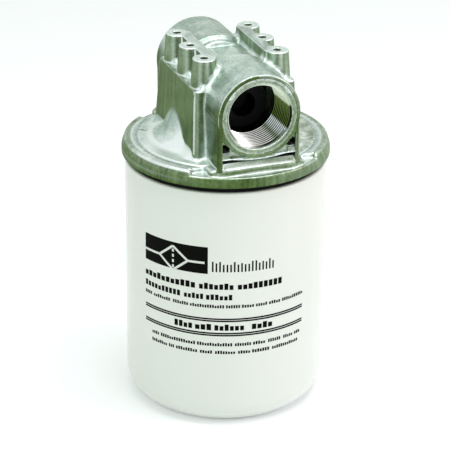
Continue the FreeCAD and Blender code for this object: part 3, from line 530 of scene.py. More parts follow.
for i in range(coil_steps + 1):
    turn = coil_turns * i / coil_steps
    open_turn = min(max(turn - closed_turns, 0.0), coil_turns - 2 * closed_turns)
    middle = spring_low[1] + end_room + open_turn * open_rise + (turn - open_turn) * 2 * valve_wire
    for k in range(wire_sides):
        around = 2 * math.pi * k / wire_sides
        out = coil_radius + valve_wire * math.cos(around)
        depth = min(max(middle + valve_wire * math.sin(around), spring_low[1]), spring_high[1])
        coil_points.append((spring_middle[0] + out * math.cos(2 * math.pi * turn), depth,
                            spring_middle[2] + out * math.sin(2 * math.pi * turn)))
coil_faces = []
for here in range(0, coil_steps * wire_sides, wire_sides):
    there = here + wire_sides
    for k in range(wire_sides):
        j = (k + 1) % wire_sides
        coil_faces.append((here + k, here + j, there + j, there + k))
for end in (0, coil_steps * wire_sides):
    coil_faces.append(tuple(range(end, end + wire_sides)))
bypass_coil = mesh_object("bypass_coil", coil_points, coil_faces, spring_wire)
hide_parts("bypass_spring")
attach(bypass_coil, "head")
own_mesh(bypass_coil)


# Grommet, O-ring and poppet seal. Small rings moulded from the same black nitrile as the gasket. They seal
# the element on the nipple, the bypass valve in its wall and the poppet on its seat.
dress(black_nitrile, "element_grommet", "poppet_seal", "bypass_o_ring")


# Element. Pleats of resin-bonded paper, matt and cream with short fibres, stand round the centre tube. Three
# beads of hot-melt glue, smooth and waxy, tie them to each other.
filter_paper = grained_material("resin_bonded_filter_paper", 1400.0, 5.0, "#d8cda9", "#efe8d6",
                                {"Roughness": 0.85}, bump=0.08)
band_glue = grained_material("hot_melt_glue", 90.0, 2.0, "#cfc8ad", "#e2dcc8", {"Roughness": 0.5})
dress(filter_paper, "pleated_media")
dress(band_glue, "pleat_band_1", "pleat_band_2", "pleat_band_3")


# Bypass valve. Its body, poppet and retainer are injection-moulded nylon with glass fibre: black and half
# matt, with the fine grain of the mould. It is pressed into the wall between dirty and clean oil.
black_nylon = grained_material("glass_filled_nylon", 800.0, 3.0, "#040505", "#0b0c0d",
                               {"Roughness": 0.5, "Specular IOR Level": 0.15}, bump=0.02)
dress(black_nylon, "bypass_body", "bypass_retainer", "bypass_poppet")


# Filter head. One pressure die casting in aluminium: a flange, a conical shoulder over the oil gallery, a
# tapered block, a barrel with both ports, and six bosses in two rows. Its edges are soft and its corners
# filleted as the die left them; the port faces and boss tops are machined afterwards.
head_foot = 167.44
flange_radius = 66.3
plate_draft = 0.24
rim_draft = 0.30
parting_height = 171.4
front_floor = 174.0
rim_height = 177.24
recess_height = 176.8
plateau_height = 177.9
plateau_radius = 56.5
rim_inner_radius = 61.0
notch_half_width = 40.6
notch_reach = 47.5
cone_radius = 42.0
cone_foot = 178
cone_top = 212
cone_slope = 0.39
cone_foot_fillet = 8.0
block_half_width = 35.2
block_half_depth = 39.3
block_width_draft = 0.05
block_depth_draft = 0.11
block_top = 221.7
port_axis = 210.8
port_reach = 59.6
port_radius = 21.0
pipe_taper = 1 / 32
mouth_radius = 21.9
mouth_slope = 1.6
barrel_radius = 26.7
barrel_rounding = 1.3
neck_depth = 2.4
face_radius = 24.3
face_depth = 0.4
leg_reach = 59.2
leg_wall = 23.7
slot_top = 182.8
slot_arch = 0.0055
web_depth = 2.2
ledge_height = 178.7
ledge_reach = 60.5
ledge_half_width = 31.0
saddle_floor = 232.1
boss_row = 24.0
boss_pitch = 25.4
boss_radius = 7.1
boss_draft = 0.07
boss_top = 239.84
boss_hole_radius = 2.55
row_inner = 16.0
row_wall = 7.0
boss_foot_fillet = 4.2
boss_hole_depth = 16
shaft_radius = 18.6
shaft_height = 58.6
shaft_wall_radius = 25.0
duct_radius = 17.6
relief_radius = 20.0
chamber_half_width = 27.8
chamber_floor = 17.5
chamber_height = 49.5
chamber_slope = 0.153
gallery_height = 19.5
gallery_slope = 0.615
valve_height = 41.0
valve_hole_radius = 12.0
valve_pad_radius = 16.5


def meld(a, b, radius):
    """Joins two shapes, given as distances from their skins, with a fillet in the corner between them."""
    u, v = np.maximum(radius - a, 0), np.maximum(radius - b, 0)
    return np.maximum(radius, np.minimum(a, b)) - np.hypot(u, v)


def trim(a, b, radius):
    """Keeps what two shapes share, and rounds the edge between them."""
    u, v = np.maximum(radius + a, 0), np.maximum(radius + b, 0)
    return np.minimum(-radius, np.maximum(a, b)) + np.hypot(u, v)


def carve(a, b, radius):
    """Takes shape b out of shape a, and rounds the edge that this leaves."""
    return trim(a, -b, radius)


def ease(value, start, end):
    """0 before start, 1 after end, and smooth between them."""
    t = np.clip((value - start) / (end - start), 0, 1)
    return t * t * (3 - 2 * t)


def within(*walls):
    """The space inside several walls at once."""
    space = walls[0]
    for wall in walls[1:]:
        space = np.maximum(space, wall)
    return space


def flange_skin(rho, side, along, z):
    """The flange, its raised rim, the groove inside that, and a flat cut through the rim at each port."""
    draft = np.maximum(z - parting_height, 0)
    plate = trim(rho - flange_radius + plate_draft * draft, z - front_floor, 0.9)
    on_rim = ease(rho, rim_inner_radius - 0.4, rim_inner_radius + 0.4)
    off_plateau = ease(rho, plateau_radius - 0.5, plateau_radius + 0.5)
    top = (recess_height + (rim_height - recess_height) * on_rim
           + (plateau_height - recess_height) * (1 - off_plateau))
    rim = trim(rho - flange_radius + rim_draft * draft, z - top, 1.3)
    notch = within(side - notch_half_width, notch_reach - along, front_floor - 1 - z)
    notch_foot = 0.02 + 1.4 * (1 - ease(rho, 62.5, 65.0))
    return meld(plate, carve(rim, notch, 2.4), notch_foot)


def from_boss(side, along):
    """How far a point is from the axis of the nearest boss."""
    return np.hypot(side - boss_row, np.minimum(along, np.abs(along - boss_pitch)))


def boss_rows(side, along, z):
    """Two rows of three round bosses, each row joined by a wall along its inner side."""
    column = from_boss(side, along) - boss_radius - boss_draft * (boss_top - np.maximum(z, block_top))
    wall = within(np.abs(side - row_inner - row_wall / 2) - row_wall / 2, along - boss_pitch)
    return trim(meld(column, wall, 1.8), z - boss_top, 0.6)


def slot_roof(side):
    """Height of the slot's roof, which arches up from its middle."""
    return np.minimum(slot_top + slot_arch * side ** 2, slot_top + 1.7)


def nose_skin(side, along, z, across):
    """The barrel with the saddle along its top, and under each port the slab, its slot and the ledge."""
    saddle = z - saddle_floor - 6.0 * ease(along, 11.0, 15.5)
    girth = barrel_radius - neck_depth * (1 - ease(along, 16.5, 20.0)) * ease(z, 224.0, 230.0)
    barrel = trim(trim(across - girth, along - port_reach, barrel_rounding), saddle, 1.6)
    barrel = carve(barrel, within(across - face_radius, port_reach - face_depth - along), 0.08)
    legs = within(trim(side - barrel_radius, along - leg_reach, 2.4), z - port_axis)
    slot = within(side - leg_wall, 47.0 - along, 176.0 - z, z - slot_roof(side))
    web = within(side - leg_wall, barrel_radius + 0.3 - across, leg_reach - web_depth - along,
                 z - 200.0, 185.2 - z)
    pocket = within(trim(within(side - leg_wall, 19.0 - side), np.abs(z - 191.2) - 2.7, 1.5), 47.4 - along)
    stub = within(18.9 - side, np.abs(z - 186.4) - 1.5, along - 58.4)
    legs = carve(carve(legs, slot, 0.4), carve(np.minimum(web, pocket), stub, 0.3), 0.5)
    depth = leg_reach - along
    under_slot = 1 - ease(side, leg_wall - 0.6, leg_wall + 0.4)
    lip = 1.45 * np.clip(depth + 0.4, 0, 2.3) - 3.0 * ease(depth, 2.6, 4.6)
    ledge_top = ledge_height + under_slot * lip - 1.2 * ease(side, 27.0, 32.0)
    ledge = trim(trim(side - ledge_half_width, along - ledge_reach, 4.0), np.hypot(side, along) - 64.4, 1.2)
    ledge = trim(ledge, z - ledge_top, 1.5)
    return meld(meld(barrel, legs, 0.6), ledge, 0.6)


def oil_ways(x, y, z, rho, across, along):
    """The ports, the inlet chamber with the gallery over the can, and the clean side's shaft and duct."""
    bore = within(across - port_radius + pipe_taper * (port_reach - along), 33.6 - along)
    chamfer = across - mouth_radius + mouth_slope * (port_reach - along)
    bore = np.minimum(bore, within(chamfer, port_reach - 2.0 - along))
    relief = within(across - relief_radius, y + 29.2, -y - 36)
    duct = within(across - duct_radius, 9.0 - y, y - 36)
    rise = z - head_foot
    from_valve = np.hypot(x, rise - valve_height)
    chamber = np.minimum(within(np.abs(x) - chamber_half_width, rise - chamber_height), across - 22.4)
    chamber = within(chamber, rho - 41.0 + chamber_slope * (rise - chamber_floor), y + 6.0,
                     head_foot + chamber_floor - z, shaft_wall_radius - rho)
    pad = within(from_valve - valve_pad_radius, -y - 28.0)
    chamber = within(chamber, -pad)
    gallery_wall = (rho - 43.0 + gallery_slope * rise) / math.hypot(1, gallery_slope)
    gallery = within(gallery_wall, shaft_wall_radius - rho, rise - gallery_height)
    shaft = within(rho - shaft_radius, rise - shaft_height)
    valve_hole = within(from_valve - valve_hole_radius, y, -y - 29.0)
    hub = within(rho - 26.0, rise - 1.0)
    ways = bore
    for way in (relief, duct, chamber, gallery, shaft, valve_hole, hub):
        ways = np.minimum(ways, way)
    return ways


def head_skin(x, y, z):
    """Distance in mm from the casting's skin, negative inside the metal."""
    rho, across = np.hypot(x, y), np.hypot(x, z - port_axis)
    side, along = np.abs(x), np.abs(y)

    cone_wall = (rho - cone_radius + cone_slope * (z - cone_foot)) / math.hypot(1, cone_slope)
    cone = within(cone_wall, z - cone_top)
    flange = flange_skin(rho, side, along, z)
    rows = boss_rows(side, along, z)
    width = side - block_half_width + block_width_draft * (z - plateau_height)
    depth = along - block_half_depth + block_depth_draft * (z - plateau_height)
    deck = meld(z - block_top, rows, 0.7 + boss_foot_fillet * (1 - ease(side, 26.5, 31.5)))
    block_foot = 2.2 + 4.8 * (1 - ease(along, 31.0, 38.0))
    body = meld(flange, trim(trim(width, depth, 3.0), deck, 0.9), block_foot)
    body = meld(body, meld(flange, cone, cone_foot_fillet), 0.6)
    nose_foot = 1.6 + 1.8 * (1 - ease(z, 176.0, 184.0)) * (1 - ease(rho, 56.0, 62.0))
    nose = nose_skin(side, along, z, across)
    body = np.minimum(meld(body, nose, nose_foot), meld(nose, np.maximum(rows, block_top - 2 - z), 4.0))
    body = np.maximum(body, head_foot - z)

    body = carve(body, oil_ways(x, y, z, rho, across, along), 0.5)
    boss_hole = within(from_boss(side, along) - boss_hole_radius, boss_top - boss_hole_depth - z)
    body = carve(body, boss_hole, 0.3)
    for mark_x, mark_y in ((35.8, -48.9), (49.2, -28.5), (-35.8, 48.9), (-49.2, 28.5)):
        ejector_mark = within(np.hypot(x - mark_x, y - mark_y) - 1.3, plateau_height - 0.7 - z)
        body = carve(body, ejector_mark, 0.4)
    for nick_x, nick_y, nick_turn in ((52.9, -16.4, 0.4), (-48.5, 22.5, -0.5)):
        turned_x, turned_y = math.cos(nick_turn), math.sin(nick_turn)
        lengthways = (x - nick_x) * turned_x + (y - nick_y) * turned_y
        sideways = (y - nick_y) * turned_x - (x - nick_x) * turned_y
        nick = within(np.abs(lengthways) - 2.4, np.abs(sideways) - 0.6, plateau_height - 0.6 - z)
        body = carve(body, nick, 0.2)
    return body


# The head's finish is bare die-cast aluminium, with light and shade painted into its colour. Painted shade
# makes the walls dark olive, darkest at the left; painted light makes what faces up pale; painted highlights
# brighten fillets, corners and the front left of the flange. The right of the flange, the rim and the barrel
# are blotched. The mesh carries how far each goes at each point.
cast_aluminium, tree, place = new_material("die_cast_aluminium")
# grain of the cast skin, 1 to 2 mm; flow marks, 12 mm; drag marks up the walls, 3 mm apart; blotches, 7 mm
cast_grain = add(tree, "ShaderNodeTexNoise", {"Vector": place, "Scale": 620.0, "Detail": 4.0,
                                              "Roughness": 0.6})
flow_marks = add(tree, "ShaderNodeTexNoise", {"Vector": place, "Scale": 80.0, "Detail": 4.0,
                                              "Distortion": 0.8})
drag_place = add(tree, "ShaderNodeVectorMath", {0: place, 1: (1.0, 1.0, 0.07)}, operation="MULTIPLY")
drag_marks = add(tree, "ShaderNodeTexNoise", {"Vector": drag_place, "Scale": 330.0, "Detail": 3.0})
blotches = add(tree, "ShaderNodeTexNoise", {"Vector": place, "Scale": 150.0, "Detail": 4.0,
                                            "Roughness": 0.6, "Distortion": 0.6})
grain = add(tree, "ShaderNodeMapRange", {"Value": cast_grain, "From Min": 0.32, "From Max": 0.68})
flow = add(tree, "ShaderNodeMapRange", {"Value": flow_marks, "From Min": 0.3, "From Max": 0.7})
drag = add(tree, "ShaderNodeMapRange", {"Value": drag_marks, "From Min": 0.34, "From Max": 0.66})
slid = add(tree, "ShaderNodeMix", {0: 0.55, 2: flow, 3: drag}, data_type="FLOAT")
# dark olive tones of the painted wall shade
painted_wall_shade = add(tree, "ShaderNodeMix", {"Factor": slid, 6: "#384e1f", 7: "#6f8a50"}, data_type="RGBA")
plain_cast_skin = add(tree, "ShaderNodeMix", {"Factor": slid, 6: "#7b9274", 7: "#b2c3ac"}, data_type="RGBA")
# pale tones of the painted light on what faces up
painted_top_light = add(tree, "ShaderNodeMix", {"Factor": flow, 6: "#a2bab7", 7: "#dae9e6"}, data_type="RGBA")
skin = plain_cast_skin
# over the plain cast skin: painted wall shade, painted light, machined metal, painted highlights, painted
# shade
for name, finish in (("painted_wall_shade", painted_wall_shade.outputs[2]), ("painted_top_light", painted_top_light.outputs[2]), ("machined", "#e0ecec"),
                     ("painted_highlight", "#edf6f6"), ("unlit", "#0b0e08")):
    amount = add(tree, "ShaderNodeAttribute", attribute_name=name).outputs["Fac"]
    skin = add(tree, "ShaderNodeMix", {"Factor": amount, 6: skin.outputs[2], 7: finish}, data_type="RGBA")
stained = add(tree, "ShaderNodeMapRange", {"Value": blotches, "From Min": 0.40, "From Max": 0.60})
stain = add(tree, "ShaderNodeMix", {"Factor": stained, 6: "#5f7a55", 7: "#f4faf6"}, data_type="RGBA")
blotched = add(tree, "ShaderNodeAttribute", attribute_name="blotched").outputs["Fac"]
skin = add(tree, "ShaderNodeMix", {"Factor": blotched, 6: skin.outputs[2], 7: stain.outputs[2]},
           data_type="RGBA")
speckle = add(tree, "ShaderNodeMix", {"Factor": grain, 6: "#cfd6ca", 7: "#ffffff"}, data_type="RGBA")
# the cast speckle fades where the painted highlights are
highlight_amount = add(tree, "ShaderNodeAttribute", attribute_name="painted_highlight").outputs["Fac"]
speckle_kept = add(tree, "ShaderNodeMath", {0: highlight_amount, 1: -0.85, 2: 1.0}, operation="MULTIPLY_ADD")
mottled = add(tree, "ShaderNodeMix", {"Factor": speckle_kept, 6: skin.outputs[2], 7: speckle.outputs[2]},
              data_type="RGBA", blend_type="MULTIPLY")
dulled = add(tree, "ShaderNodeMapRange", {"Value": cast_grain, "To Min": 0.26, "To Max": 0.44})
cast_skin = add(tree, "ShaderNodeBump", {"Height": cast_grain, "Distance": 0.09 * MM})
aluminium = add(tree, "ShaderNodeBsdfPrincipled", {"Base Color": mottled.outputs[2], "Metallic": 0.75,
                                                   "Roughness": dulled, "Specular Tint": linear("#ccd5c2"),
                                                   "Normal": cast_skin})
add(tree, "ShaderNodeOutputMaterial", {"Surface": aluminium})

# The casting is drawn as a grid of distances, turned into a skin of small faces, and settled onto the shape.
voxel = 0.6
skin_band = 3.0
settle_reach = 0.04
settle_limit = 0.4
grid_low = np.array([-68.4, -68.4, 165.6])
grid_high = np.array([68.4, 68.4, 241.8])
axes = [np.arange(low, high, voxel, dtype=np.float32) for low, high in zip(grid_low, grid_high)]
x, y, z = np.meshgrid(*axes, indexing="ij", sparse=True)
grid = openvdb.FloatGrid(background=skin_band)
grid.copyFromArray(np.clip(head_skin(x, y, z), -skin_band, skin_band).astype(np.float32))
grid.transform = openvdb.createLinearTransform(voxelSize=voxel)
points, quads = grid.convertToQuads(isovalue=0.0)
points = points.astype(np.float64) + grid_low


def skin_slope(points, reach):
    """The direction straight out of the casting at each point, and how fast the distance grows there."""
    slope = np.empty_like(points)
    for axis in range(3):
        step = np.zeros(3)
        step[axis] = reach
        slope[:, axis] = (head_skin(*(points + step).T) - head_skin(*(points - step).T)) / (2 * reach)
    return slope


for _ in range(3):
    slope = skin_slope(points, settle_reach)
    steep = np.maximum((slope ** 2).sum(1), 0.25)
    points -= slope * np.clip(head_skin(*points.T) / steep, -settle_limit, settle_limit)[:, None]

head_mesh = bpy.data.meshes.new("head_casting")
head_mesh.from_pydata(points * MM, [], quads.tolist())
head_mesh.materials.append(cast_aluminium)
head = in_scene("head_casting", head_mesh)
triangle_limit = 190000
thin = head.modifiers.new("thin", "DECIMATE")
thin.ratio = min(1.0, triangle_limit / (2 * len(quads)))
thinned = keep_result(head, thin)
thinned.polygons.foreach_set("use_smooth", [True] * len(thinned.polygons))
places = np.empty(len(thinned.vertices) * 3)
thinned.vertices.foreach_get("co", places)
places = places.reshape(-1, 3) / MM
normal_reach = 0.15
normals = skin_slope(places, normal_reach)
normals /= np.maximum(np.linalg.norm(normals, axis=1, keepdims=True), 1e-6)
thinned.normals_split_custom_set_from_vertices([tuple(n) for n in normals])


def near(value, middle, spread):
    """1 at the middle, fading away on both sides of it."""
    return np.exp(-((value - middle) / spread) ** 2)


def between(value, start, end):
    """True between the two values."""
    return (value > start) & (value < end)


# where each point of the skin lies, which way it faces, and how sharply the skin bends there
right, back, height = places.T
side, along = np.abs(right), np.abs(back)
rho, across = np.hypot(right, back), np.hypot(side, height - port_axis)
heading = np.degrees(np.arctan2(right, -back))
facing = np.degrees(np.arctan2(normals[:, 0], -normals[:, 1]))
up = normals[:, 2]
turned_left = -normals[:, 0]
turned_side, turned_front = np.abs(normals[:, 0]), np.abs(normals[:, 1])
bend_reach = 0.9
bend = -6 * head_skin(*places.T)
for axis in range(3):
    step = np.zeros(3)
    step[axis] = bend_reach
    bend += head_skin(*(places + step).T) + head_skin(*(places - step).T)
bend /= bend_reach ** 2
bend[rho > 65.6] = 0
hollow = np.clip((-bend - 0.10) * 3.0, 0, 1)
corner = np.clip((bend - 0.12) * 1.2, 0, 1)

# areas of the flange
low = 1 - ease(height, 180.0, 184.0)
rim = low * ease(rho, 60.6, 61.4)
plateau = low * (rho < 57) * ease(up, 0.6, 0.9)
right_flat = low * ease(right, 15.0, 45.0) * ease(up, 0.6, 0.9)
parting = near(height, parting_height, 0.28) * (rho > 65.4)
notch_land = (along > 55.5) * (rho < 65.6) * (height < 182.5) * (side < 36) * ease(up, 0.3, 0.6)
slot_floor = (side < 24.2) * (height < 183) * between(along, 56, 60.2) * ease(up, 0.2, 0.5)
# where the painted glint at the front left of the flange falls
front_left_glint = near(heading, -52, 22)

# areas of the block and of the bosses on it
raised = ease(height, 219.0, 231.0)
block_front = between(along, 37, 42) * (side > 26) * (height > 180) * turned_front
block_corner = (side > 29.5) * (along > 31.0) * between(height, 182, 224) * (up < 0.5)
deck_edge = (side > 31.0) * (np.abs(height - 221.0) < 1.8) * (along < 38)
deck_pool = (1 - ease(height, 224.5, 229.0)) * (height > 220.8) * between(side, 23, 32.2)
deck_pool = deck_pool * np.maximum(near(along, boss_pitch / 2, 3.8), near(along, 35.5, 2.8))
wall_crease = (side > 31) * between(height, 184, 219) * (along < 33)
saddle_step = (turned_front > 0.2) * (height > saddle_floor - 0.4) * (side < 18) * (along < 26)
boss_side = (side > row_inner + 0.3) * between(height, 223.5, boss_top - 0.5) * (np.abs(up) < 0.3)
boss_rim = (height > boss_top - 0.8) * near(up, 0.62, 0.28)
top_face = (height > boss_top - 0.4) * (up > 0.6)
axis_distance = from_boss(side, along)

# areas of the barrel, of the slabs under it and of the ports
barrel = (across < barrel_radius + 0.5) * ease(height, port_axis - 1, port_axis + 9)
nose_side = between(side, 25.5, 30) * (along > 38) * (height > 178)
nose_seam = between(side, 24.0, 29.0) * between(along, 43, 58.4) * (np.abs(height - port_axis) < 6)
port_face = (along > port_reach - face_depth - 0.12) & (across < 28) & (across > 21)
turned_face = ease(across, face_radius - 0.1, face_radius + 0.1)
face_groove = near(across, face_radius, 0.2)
round_ring = near(across, 26.4, 0.28) * between(along, port_reach - 1.5, port_reach - 0.05)
chamfered = (along > port_reach - 1.3) * between(across, port_radius - 0.1, mouth_radius) * ~port_face
bore_wall = (across < port_radius + 0.3) * between(along, 34, port_reach)
inside = (across < port_radius + 0.2) | (rho < 25) & (height < 215) | (across < 22) & (height < 230)
collar = ease(along, 55.2, 57.0) * ease(turned_left, 0.35, 0.7) * (side > 20)
collar = collar * (1 - ease(height, 216.0, 226.0))
leg_corner = between(side, 24, 27.5) * (along > 56.4) * (height > 177) * (turned_front > 0.15)
leg_corner = leg_corner * (1 - ease(height, 203.0, 212.0))
lip_rise = height - slot_roof(side)
slot_lip = (along > 58.3) * (side < 20) * between(lip_rise, -0.3, 1.0)
sunk = (side < 23.9) * between(height, 180, 198) * between(along, 46, 57.0) * (across > 26) * (up < 0.6)

# painted shade: dark olive on the walls, darkest at the left and lighter higher up and to the right, and on
# the rim, the port faces, the collars by the mouths and the slot floors
face_painted_shade = 0.50 + 0.18 * (height < port_axis - 8) + 0.34 * ease(right, 4.0, 18.0)
face_painted_shade = face_painted_shade + (0.62 * turned_face * (0.15 + 0.85 * ease(-right, -12.0, 12.0))
                       * ease(height, port_axis - 22, port_axis - 4))
painted_wall_shade = (0.95 - 0.85 * ease(right, -52.0, 50.0)) * (1 - 0.65 * raised) * (1 - 0.55 * block_front)
painted_wall_shade = np.where(rim > 0.5, np.clip(1.10 - ease(right, -25.0, 58.0), 0, 1), painted_wall_shade)
painted_wall_shade = np.where(port_face, face_painted_shade, painted_wall_shade) + 0.25 * right_flat
painted_wall_shade = np.where((block_corner * turned_front) > 0.45, 0.52, painted_wall_shade)
painted_wall_shade = painted_wall_shade + collar + 0.35 * notch_land + 0.55 * slot_floor
painted_wall_shade = painted_wall_shade - (0.30 * (rho > 65.0) * ease(height, parting_height, parting_height + 0.5)
               * near(heading, -70, 40))

# painted light: paler where the skin faces up, and a painted highlight band along the slabs' sides
painted_top_light = ease(up, 0.08, 0.42)
painted_top_light = painted_top_light + (ease(up, -0.30, 0.25) - painted_top_light) * barrel
painted_top_light = np.where(rim > 0.5, ease(up, 0.45, 0.75) * 0.25, painted_top_light)
painted_top_light = np.maximum(painted_top_light, 0.85 * nose_side * (1 - ease(along, 42.0, 45.5)))
painted_top_light = painted_top_light * (1 - 0.8 * plateau * ease(right, 10.0, 40.0)) * (1 - 0.6 * deck_edge)
painted_top_light = np.where(port_face, 0.0, painted_top_light) * (1 - collar) * (1 - 0.7 * notch_land)

# machined boss tops, and the bores with their chamfers
machined = 0.9 * top_face * (1 - 0.55 * ease(axis_distance, boss_radius - 0.3, boss_radius + 1.5))
machined = np.maximum(machined, np.maximum(0.15 * chamfered, 0.8 * bore_wall))

# painted shade: what lies deep inside or sunk, creases, and dark painted reflection bands down the bosses'
# sides
on_strip = top_face * ease(axis_distance, boss_radius - 0.6, boss_radius + 1.2)
face_shade = turned_face * ease(-right, -16.0, 8.0) * ease(height, port_axis - 16, port_axis)
shade = np.maximum.reduce([
    0.9 * (inside & (along < 34)),
    0.85 * sunk,
    0.32 * leg_corner,
    0.14 * block_corner * near(turned_side, 0.60, 0.13),
    0.16 * (back > 20) * (height > 222) * (side < row_inner + 0.5),
    0.10 * (right > 0) * (turned_left > 0.6) * (height > 226) * (side < 17.5),
    on_strip * (0.14 + 0.14 * (right > 0)),
    0.10 * (rho > 65.4) * (height < parting_height),
    0.24 * low * near(rho, plateau_radius + 0.6, 0.5),
    0.16 * saddle_step,
    0.17 * collar,
    0.13 * right_flat,
    0.25 * port_face * np.maximum(face_groove, face_shade),
    *(depth * boss_side * near(facing, band_facing, spread)
      for band_facing, spread, depth in ((-100, 9, 0.45), (-21, 6, 0.38), (14, 6, 0.35), (70, 9, 0.35))),
])

# painted highlights on fillets, corners, rims and lips, painted glints on the flange at the front left, and
# bright painted reflection bands down the bosses
painted_highlight = hollow * (0.35 + 0.6 * ease(up, 0.2, 0.6) + 0.4 * raised)
painted_highlight = painted_highlight + 0.6 * corner * (0.3 + 0.7 * ease(up, 0.0, 0.4)) * (1 - 0.9 * deck_edge)
painted_highlight = np.minimum(painted_highlight, 0.75) * (1 - 0.8 * saddle_step)
painted_highlight = painted_highlight + 0.8 * block_corner * near(turned_side, 0.90, 0.13) * (turned_front > 0.12)
painted_highlight = painted_highlight + 0.08 * barrel * (back < 0) * ease(up, 0.5, 0.9)
painted_highlight = painted_highlight + 0.30 * plateau * ease(-right, 5.0, 30.0) * ease(-back, -40.0, 10.0)
painted_highlight = painted_highlight + 0.95 * deck_pool + 0.8 * boss_rim
painted_highlight = painted_highlight + 0.7 * round_ring * ease(-right, 0.0, 14.0) * (height > port_axis - 8)
painted_highlight = painted_highlight * (1 - 0.85 * wall_crease) * (1 - 0.95 * nose_seam) + 0.8 * slot_lip
painted_highlight = painted_highlight + 0.7 * near(rho, 64.9, 0.7) * near(heading, -48, 30) * ease(height, 175.6, 176.6) * low
painted_highlight = painted_highlight + front_left_glint * low * ease(up, 0.55, 0.85) * np.where(rho > 56.8, 0.8, 1.0)
painted_highlight = painted_highlight + (2.4 * front_left_glint * (1 - ease(height, 184.0, 198.0)) * ease(height, 176.0, 178.5)
                   * ease(up, 0.15, 0.4))
for band_facing, spread, depth in ((-38, 9, 0.30), (-2, 7, 0.40)):
    painted_highlight = painted_highlight + depth * boss_side * near(facing, band_facing, spread)
painted_highlight = painted_highlight * (1 - (shade > 0.2)) + 0.30 * parting * near(heading, -75, 35)

# painted shade in the sunk ejector marks and nicks in the flange, and the blotches
shade = np.maximum(shade, 0.7 * between(rho, 45, 56) * between(height, 177.0, plateau_height - 0.25))
blotched = np.maximum.reduce([
    0.50 * low * (rho < plateau_radius - 0.4) * ease(right, 8.0, 34.0) * ease(up, 0.5, 0.9),
    0.22 * rim * ease(up, 0.3, 0.7),
    0.17 * barrel * ease(up, 0.2, 0.7),
])
for name, values in (("painted_wall_shade", painted_wall_shade), ("painted_top_light", painted_top_light), ("machined", machined), ("painted_highlight", painted_highlight),
                     ("unlit", shade), ("blotched", blotched)):
    carried = thinned.attributes.new(name, "FLOAT", "POINT")
    carried.data.foreach_set("value", np.clip(values, 0, 1).astype(float))
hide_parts("filter_head")
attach(head, "head")


# Port threads. Tapered pipe thread cut into the casting, 11.5 to the inch, about ten turns, bright from the
# tap: the ridge runs round the bore as one helix and stands with its foot in the bore's wall.
cut_aluminium, tree, place = new_material("machined_aluminium")
tool_marks = add(tree, "ShaderNodeTexNoise", {"Vector": place, "Scale": 500.0, "Detail": 3.0})
tool_skin = add(tree, "ShaderNodeMapRange", {"Value": tool_marks, "To Min": 0.18, "To Max": 0.32})
spot = add(tree, "ShaderNodeSeparateXYZ", {0: place})
rise = add(tree, "ShaderNodeMath", {0: spot.outputs["Z"], 1: port_axis * MM}, operation="SUBTRACT")
bearing = add(tree, "ShaderNodeMath", {0: rise, 1: spot.outputs["X"]}, operation="ARCTAN2")
around = add(tree, "ShaderNodeMapRange", {"Value": bearing, "From Min": -math.pi, "From Max": math.pi})
crest = add(tree, "ShaderNodeAttribute", attribute_name="crest")
crest_edge = add(tree, "ShaderNodeMapRange", {"Value": crest.outputs["Fac"], "From Min": 0.66,
                                              "From Max": 0.95})
thread_tone = add(tree, "ShaderNodeMix", {"Factor": crest_edge}, data_type="RGBA")
# by angle round the bore, painted light and shade: a painted highlight low down, painted shade at the right
# side, and painted shade in the valleys
valley_tones = ((-180, "#77806f"), (-138, "#8b9484"), (-112, "#f4f7f1"), (-92, "#6d7664"), (-76, "#141a0c"),
                (-52, "#2f4023"), (-44, "#5d6f60"), (-31, "#7d8f8c"), (-27, "#10180a"), (11, "#141d0c"),
                (15, "#a3b397"), (70, "#c4d0bc"), (112, "#828d79"), (180, "#77806f"))
crest_tones = ((-180, "#e6ebe3"), (-138, "#f1f4ee"), (-105, "#ffffff"), (-62, "#fbfdf8"), (-52, "#8fa585"),
               (-44, "#e8f0f2"), (-31, "#f2f8f8"), (-27, "#5e7434"), (11, "#6d8148"), (15, "#c6d2bb"),
               (70, "#dde6d6"), (180, "#e6ebe3"))
for slot, tones in ((6, valley_tones), (7, crest_tones)):
    ramp = add(tree, "ShaderNodeValToRGB", {"Fac": around})
    for end, (angle, tone) in zip(ramp.color_ramp.elements, (tones[0], tones[-1])):
        end.color = linear(tone)
    for angle, tone in tones[1:-1]:
        ramp.color_ramp.elements.new(angle / 360 + 0.5).color = linear(tone)
    tree.links.new(ramp.outputs[0], thread_tone.inputs[slot])
thread_metal = add(tree, "ShaderNodeBsdfPrincipled", {"Base Color": thread_tone.outputs[2], "Metallic": 1.0,
                                                      "Roughness": tool_skin})
add(tree, "ShaderNodeOutputMaterial", {"Surface": thread_metal})

tree, given, sockets = shape_tree("helical_thread", [
    ("Turns", "NodeSocketFloat"), ("Length", "NodeSocketFloat"), ("Start radius", "NodeSocketFloat"),
    ("End radius", "NodeSocketFloat"), ("Foot", "NodeSocketVector"), ("Crest", "NodeSocketVector"),
    ("Place", "NodeSocketVector"), ("Turn", "NodeSocketVector")])
helix = add(tree, "GeometryNodeCurveSpiral", {
    "Resolution": 96, "Rotations": given["Turns"], "Start Radius": given["Start radius"],
    "End Radius": given["End radius"], "Height": given["Length"]})
level = add(tree, "GeometryNodeSetCurveNormal", {"Curve": helix}, mode="Z_UP")
flip = (1.0, -1.0, 1.0)
foot_below = add(tree, "ShaderNodeVectorMath", {0: given["Foot"], 1: flip}, operation="MULTIPLY")
crest_below = add(tree, "ShaderNodeVectorMath", {0: given["Crest"], 1: flip}, operation="MULTIPLY")
ridge = add(tree, "GeometryNodeCurvePrimitiveQuadrilateral", {
    "Point 1": foot_below, "Point 2": crest_below, "Point 3": given["Crest"],
    "Point 4": given["Foot"]}, mode="POINTS")
out_of_wall = add(tree, "ShaderNodeSeparateXYZ", {0: add(tree, "GeometryNodeInputPosition")}).outputs["X"]
